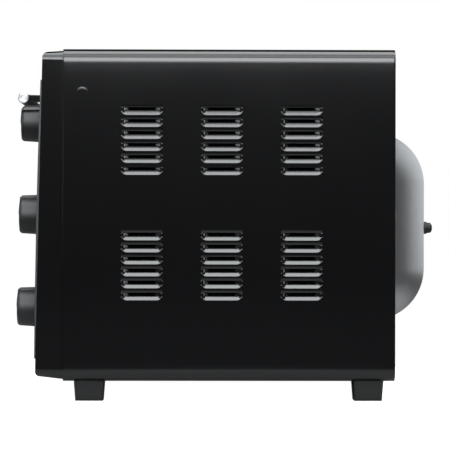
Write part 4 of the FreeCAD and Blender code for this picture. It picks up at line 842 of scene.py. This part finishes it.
# tempered glass with a grey body tint: clear enough to see the rack, dark against the cavity
glass, tree, output = new_material("tinted_tempered_glass")
roller = add(tree, "TexNoise", {"Vector": object_place(tree, 1 / (90 * MM), 1, 1 / (30 * MM))}, Scale=1)
wave = add(tree, "Bump", {"Height": roller.outputs["Fac"]}, Strength=0.1, Distance=0.05 * MM)
skin(tree, output, {"Normal": wave.outputs[0]}, Base_Color=hex_colour("#8f9492"),
     Roughness=0.02, IOR=1.52, Transmission_Weight=1.0)
dress(glass, "door_glass")
retainer = softened("glass_retainer", "pane_retainer", aluminised, 0.8 * MM)
settle(retainer, "door", "bare_steel", "glass_retainer")
dress(zinc, "hinge_brackets", "hinge_pins")


def swept(path, radius, side, around=10):
    """A round wire along a path, capped at both ends; side is a direction that the path never takes."""
    path = np.asarray(path, float)
    run = np.gradient(path, axis=0)
    first = np.cross(run, side)
    first /= np.linalg.norm(first, axis=1, keepdims=True)
    second = np.cross(run, first)
    second /= np.linalg.norm(second, axis=1, keepdims=True)
    angles = np.arange(around) * 2 * math.pi / around
    cosine, sine = np.cos(angles)[None, :, None], np.sin(angles)[None, :, None]
    ring = radius * (cosine * first[:, None] + sine * second[:, None])
    start, end = path[:1, None] + 0 * ring[:1], path[-1:, None] + 0 * ring[-1:]
    points = np.concatenate([start, path[:, None] + ring, end])
    return points, grid_faces(len(points), around, closed=True)


spring_low, spring_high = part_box("door_springs")
spring_wire, spring_turns = 0.65 * MM, 5
spring_radius = (spring_high[2] - spring_low[2]) / 2 - spring_wire
hinge_y, hinge_z = ((spring_low[i] + spring_high[i]) / 2 for i in (1, 2))
coil_length = 8.1 * MM
turns = stretch(0, spring_turns, 1 / 24)
springs = []
for end, inward in ((spring_low[0], 1), (spring_high[0], -1)):
    helix = np.stack([end + inward * (spring_wire + (coil_length - 2 * spring_wire) * turns / spring_turns),
                      hinge_y + spring_radius * np.cos(2 * math.pi * turns),
                      hinge_z + spring_radius * np.sin(2 * math.pi * turns)], axis=-1)
    springs.append(swept(helix, spring_wire, (1, 0, 0), 8))
door_springs = closed_mesh("hinge_coil_springs", springs, zinc)
settle(door_springs, "door", "zinc_steel", "door_springs")

# ---------------------------------------------------------------- handle
# A brushed steel tube across the top of the door, closed by plugs with turned faces, and stood off
# on two nylon arms with a chamfered top edge that is hollowed to fit round the tube.

# brushed stainless tube: fine lines round it, from the belt that it was finished on
brushed, tree, output = new_material("brushed_stainless_tube")
lines = add(tree, "TexNoise", {"Vector": object_place(tree, 1 / (0.12 * MM), 1 / (6 * MM), 1 / (6 * MM))},
            Scale=1, Detail=2)
relief = add(tree, "Bump", {"Height": lines.outputs["Fac"]}, Strength=0.35, Distance=0.01 * MM)
shade = add(tree, "MixRGB", {"Fac": lines.outputs["Fac"]}, Color1=hex_colour("#c2c3c4"),
            Color2=hex_colour("#d4d5d6"))
skin(tree, output, {"Normal": relief.outputs[0], "Base Color": shade.outputs[0]},
     Metallic=1.0, Roughness=0.24)

# turned face: rings 0.25 mm apart from the tool, which throw light out in bright sectors
faced, tree, output = new_material("turned_stainless_face")
end_low, end_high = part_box("handle_end_right")
tube_y, tube_z = ((end_low[i] + end_high[i]) / 2 for i in (1, 2))
place = add(tree, "TexCoord")
centred = add(tree, "Mapping", {"Vector": place.outputs["Object"]}, Location=(0, -tube_y, -tube_z))
rings = add(tree, "TexWave", {"Vector": centred.outputs[0]}, wave_type="RINGS", rings_direction="X",
            Scale=2 * math.pi / (20 * 0.25 * MM))
relief = add(tree, "Bump", {"Height": rings.outputs["Fac"]}, Strength=0.8, Distance=0.03 * MM)
skin(tree, output, {"Normal": relief.outputs[0]}, Base_Color=hex_colour("#c4c5c6"),
     Metallic=1.0, Roughness=0.34)


def lengthways(start, sign):
    """Local axes for a piece turned about the handle, with its own length along X."""
    def place(local):
        spots = [start + sign * local[..., 1], tube_y + local[..., 0], tube_z + local[..., 2]]
        return np.stack(spots, axis=-1)
    return place


tube_low, tube_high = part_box("handle_tube")
tube_radius, tube_bore, end_chamfer = 5.35 * MM, 4.2 * MM, 0.6 * MM
tube_length = tube_high[0] - tube_low[0]
tube_edge = 0.15 * MM
profile = np.array([(tube_bore, 0), (tube_radius - tube_edge, 0), (tube_radius, tube_edge),
                    (tube_radius, tube_length - tube_edge), (tube_radius - tube_edge, tube_length),
                    (tube_bore, tube_length), (tube_bore, 0)])
tube_wall = turned(profile[:, 0], profile[:, 1], lengthways(tube_low[0], 1), 64)
tube = closed_mesh("brushed_handle_tube", [tube_wall], brushed)
settle(tube, "door", "handle_steel", "handle_tube")
plug_collar, plug_length = 2.9 * MM, 9 * MM
plug = rounded([(0, 0.1 * MM), (2.2 * MM, 0.1 * MM), (2.6 * MM, 0), (tube_radius - end_chamfer, 0),
                (tube_radius, end_chamfer), (tube_radius, plug_collar), (tube_bore - 0.1 * MM, plug_collar),
                (tube_bore - 0.1 * MM, plug_length), (0, plug_length)], 0.25 * MM, 4)
for node in ("handle_end_left", "handle_end_right"):
    low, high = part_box(node)
    start, sign = (low[0], 1) if node.endswith("left") else (high[0], -1)
    plug_face = turned(plug[:, 0], plug[:, 1], lengthways(start, sign), 64)
    end_plug = closed_mesh(f"{node}_plug", [plug_face], faced)
    settle(end_plug, "door", "handle_steel", node)
arms = softened("handle_arms", "handle_arm_pair", black_nylon, 1.3 * MM, 40)
settle(arms, "door", "black_moulding", "handle_arms")


def facing_out(across):
    """Local axes for a screw that goes out through the door into the handle."""
    face = leaning(across, 0, 0)

    def place(local):
        return face(local * (1, -1, 1)) + (0, arm_seat_y, arm_seat_z)
    return place


screw_low, screw_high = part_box("handle_screws")
head_radius, shank_radius, head_rise = 4 * MM, 2 * MM, 2.4 * MM
head_face = (screw_high[1] - face_foot) - head_rise * math.cos(tilt)
shank_run = (screw_high[1] - screw_low[1]) - head_rise
arm_seat_y, arm_seat_z = head_face, (screw_high[2] + screw_low[2]) / 2 - wrap_foot
arm_spots = (screw_low[0] + head_radius, screw_high[0] - head_radius)
handle_screws = closed_mesh("handle_screw_pair", [
    pan_head(facing_out(across), head_radius, head_rise, shank_radius, shank_run - 0.3 * MM)
    for across in arm_spots], zinc)
settle(handle_screws, "door", "zinc_steel", "handle_screws")

# ---------------------------------------------------------------- cavity, rods, rack and tray
# The cavity is folded from aluminised sheet. Two pairs of sheathed rods cross it in steatite
# bushes, a plated wire rack rides on ledges above the lower pair, and a crumb tray slides under.

# nickel-alloy sheath after heating: dark grey-brown scale with bluish patches about 12 mm across
sheath, tree, output = new_material("oxidised_rod_sheath")
patch = grain(tree, 12 * MM, 4)
shade = add(tree, "ValToRGB", {"Fac": patch.outputs["Fac"]})
for element, (position, colour) in zip(shade.color_ramp.elements, ((0.38, "#4a4440"), (0.62, "#5b5f66"))):
    element.position, element.color = position, hex_colour(colour)
scale = grain(tree, 0.6 * MM)
relief = add(tree, "Bump", {"Height": scale.outputs["Fac"]}, Strength=0.3, Distance=0.02 * MM)
skin(tree, output, {"Base Color": shade.outputs[0], "Normal": relief.outputs[0]},
     Metallic=0.8, Roughness=0.5)
dress(sheath, "lower_elements", "upper_elements")

# fired steatite: unglazed off-white with fine grey specks
steatite, tree, output = new_material("unglazed_steatite")
speck = grain(tree, 0.7 * MM, 3)
shade = add(tree, "MixRGB", {"Fac": speck.outputs["Fac"]}, Color1=hex_colour("#e0dacb"),
            Color2=hex_colour("#cfc8b8"))
skin(tree, output, {"Base Color": shade.outputs[0]}, Roughness=0.62, IOR=1.6)
for node in ("element_bushes", "terminal_block"):
    ceramic = softened(node, f"{node}_fired", steatite, 0.5 * MM, 40)
    settle(ceramic, "case", "bush_ceramic", node)

# nickel-chrome plated wire: bright, with a trace of waviness from drawing
plated, tree, output = new_material("nickel_chrome_plated_wire")
drawn = grain(tree, 3 * MM)
dull = add(tree, "MapRange", {"Value": drawn.outputs["Fac"]}, To_Min=0.1, To_Max=0.2)
skin(tree, output, {"Roughness": dull.outputs[0]}, Base_Color=hex_colour("#d3d2ce"),
     Metallic=1.0)

rack_low, rack_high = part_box("wire_rack")
rack_wire, rung_wire, rung_pitch, rack_bend, rack_drop = 2.4 * MM, 1.5 * MM, 19 * MM, 14 * MM, 0.4 * MM
rack_level = rack_high[2] - rack_wire
left, right = rack_low[0] + rack_wire, rack_high[0] - rack_wire
near, far = rack_low[1] + rack_wire, rack_high[1] - rack_wire
bends = ((right - rack_bend, far - rack_bend), (left + rack_bend, far - rack_bend),
         (left + rack_bend, near + rack_bend), (right - rack_bend, near + rack_bend))
loop = [np.column_stack(quarter(bend, rack_bend, turn, turn + 1, 9)) for turn, bend in enumerate(bends)]
loop = np.concatenate(loop + [loop[0][:1]])
loop = np.column_stack([loop, np.full(len(loop), rack_level)])
wires = [swept(loop, rack_wire, (0, 0, 1), 16)]
rung_run = stretch(near, far, 40 * MM)
rung_level = rack_level + rack_wire - rung_wire
for across in np.arange(left + rung_pitch, right - 0.5 * rung_pitch, rung_pitch):
    wires.append(swept(np.column_stack([np.full(rung_run.size, across), rung_run,
                                        np.full(rung_run.size, rung_level)]), rung_wire, (0, 0, 1), 12))
bar_run = stretch(left, right, 40 * MM)
wires.append(swept(np.column_stack([bar_run, np.full(bar_run.size, (near + far) / 2),
                                    np.full(bar_run.size, rack_level - rack_drop)]),
                   rack_wire - rack_drop, (0, 0, 1), 12))
rack = closed_mesh("plated_wire_rack", wires, plated)
settle(rack, "rack", "rack_chrome", "wire_rack")

tray = softened("crumb_tray", "folded_crumb_tray", aluminised, 0.3 * MM)
settle(tray, "tray", "bare_steel", "crumb_tray")
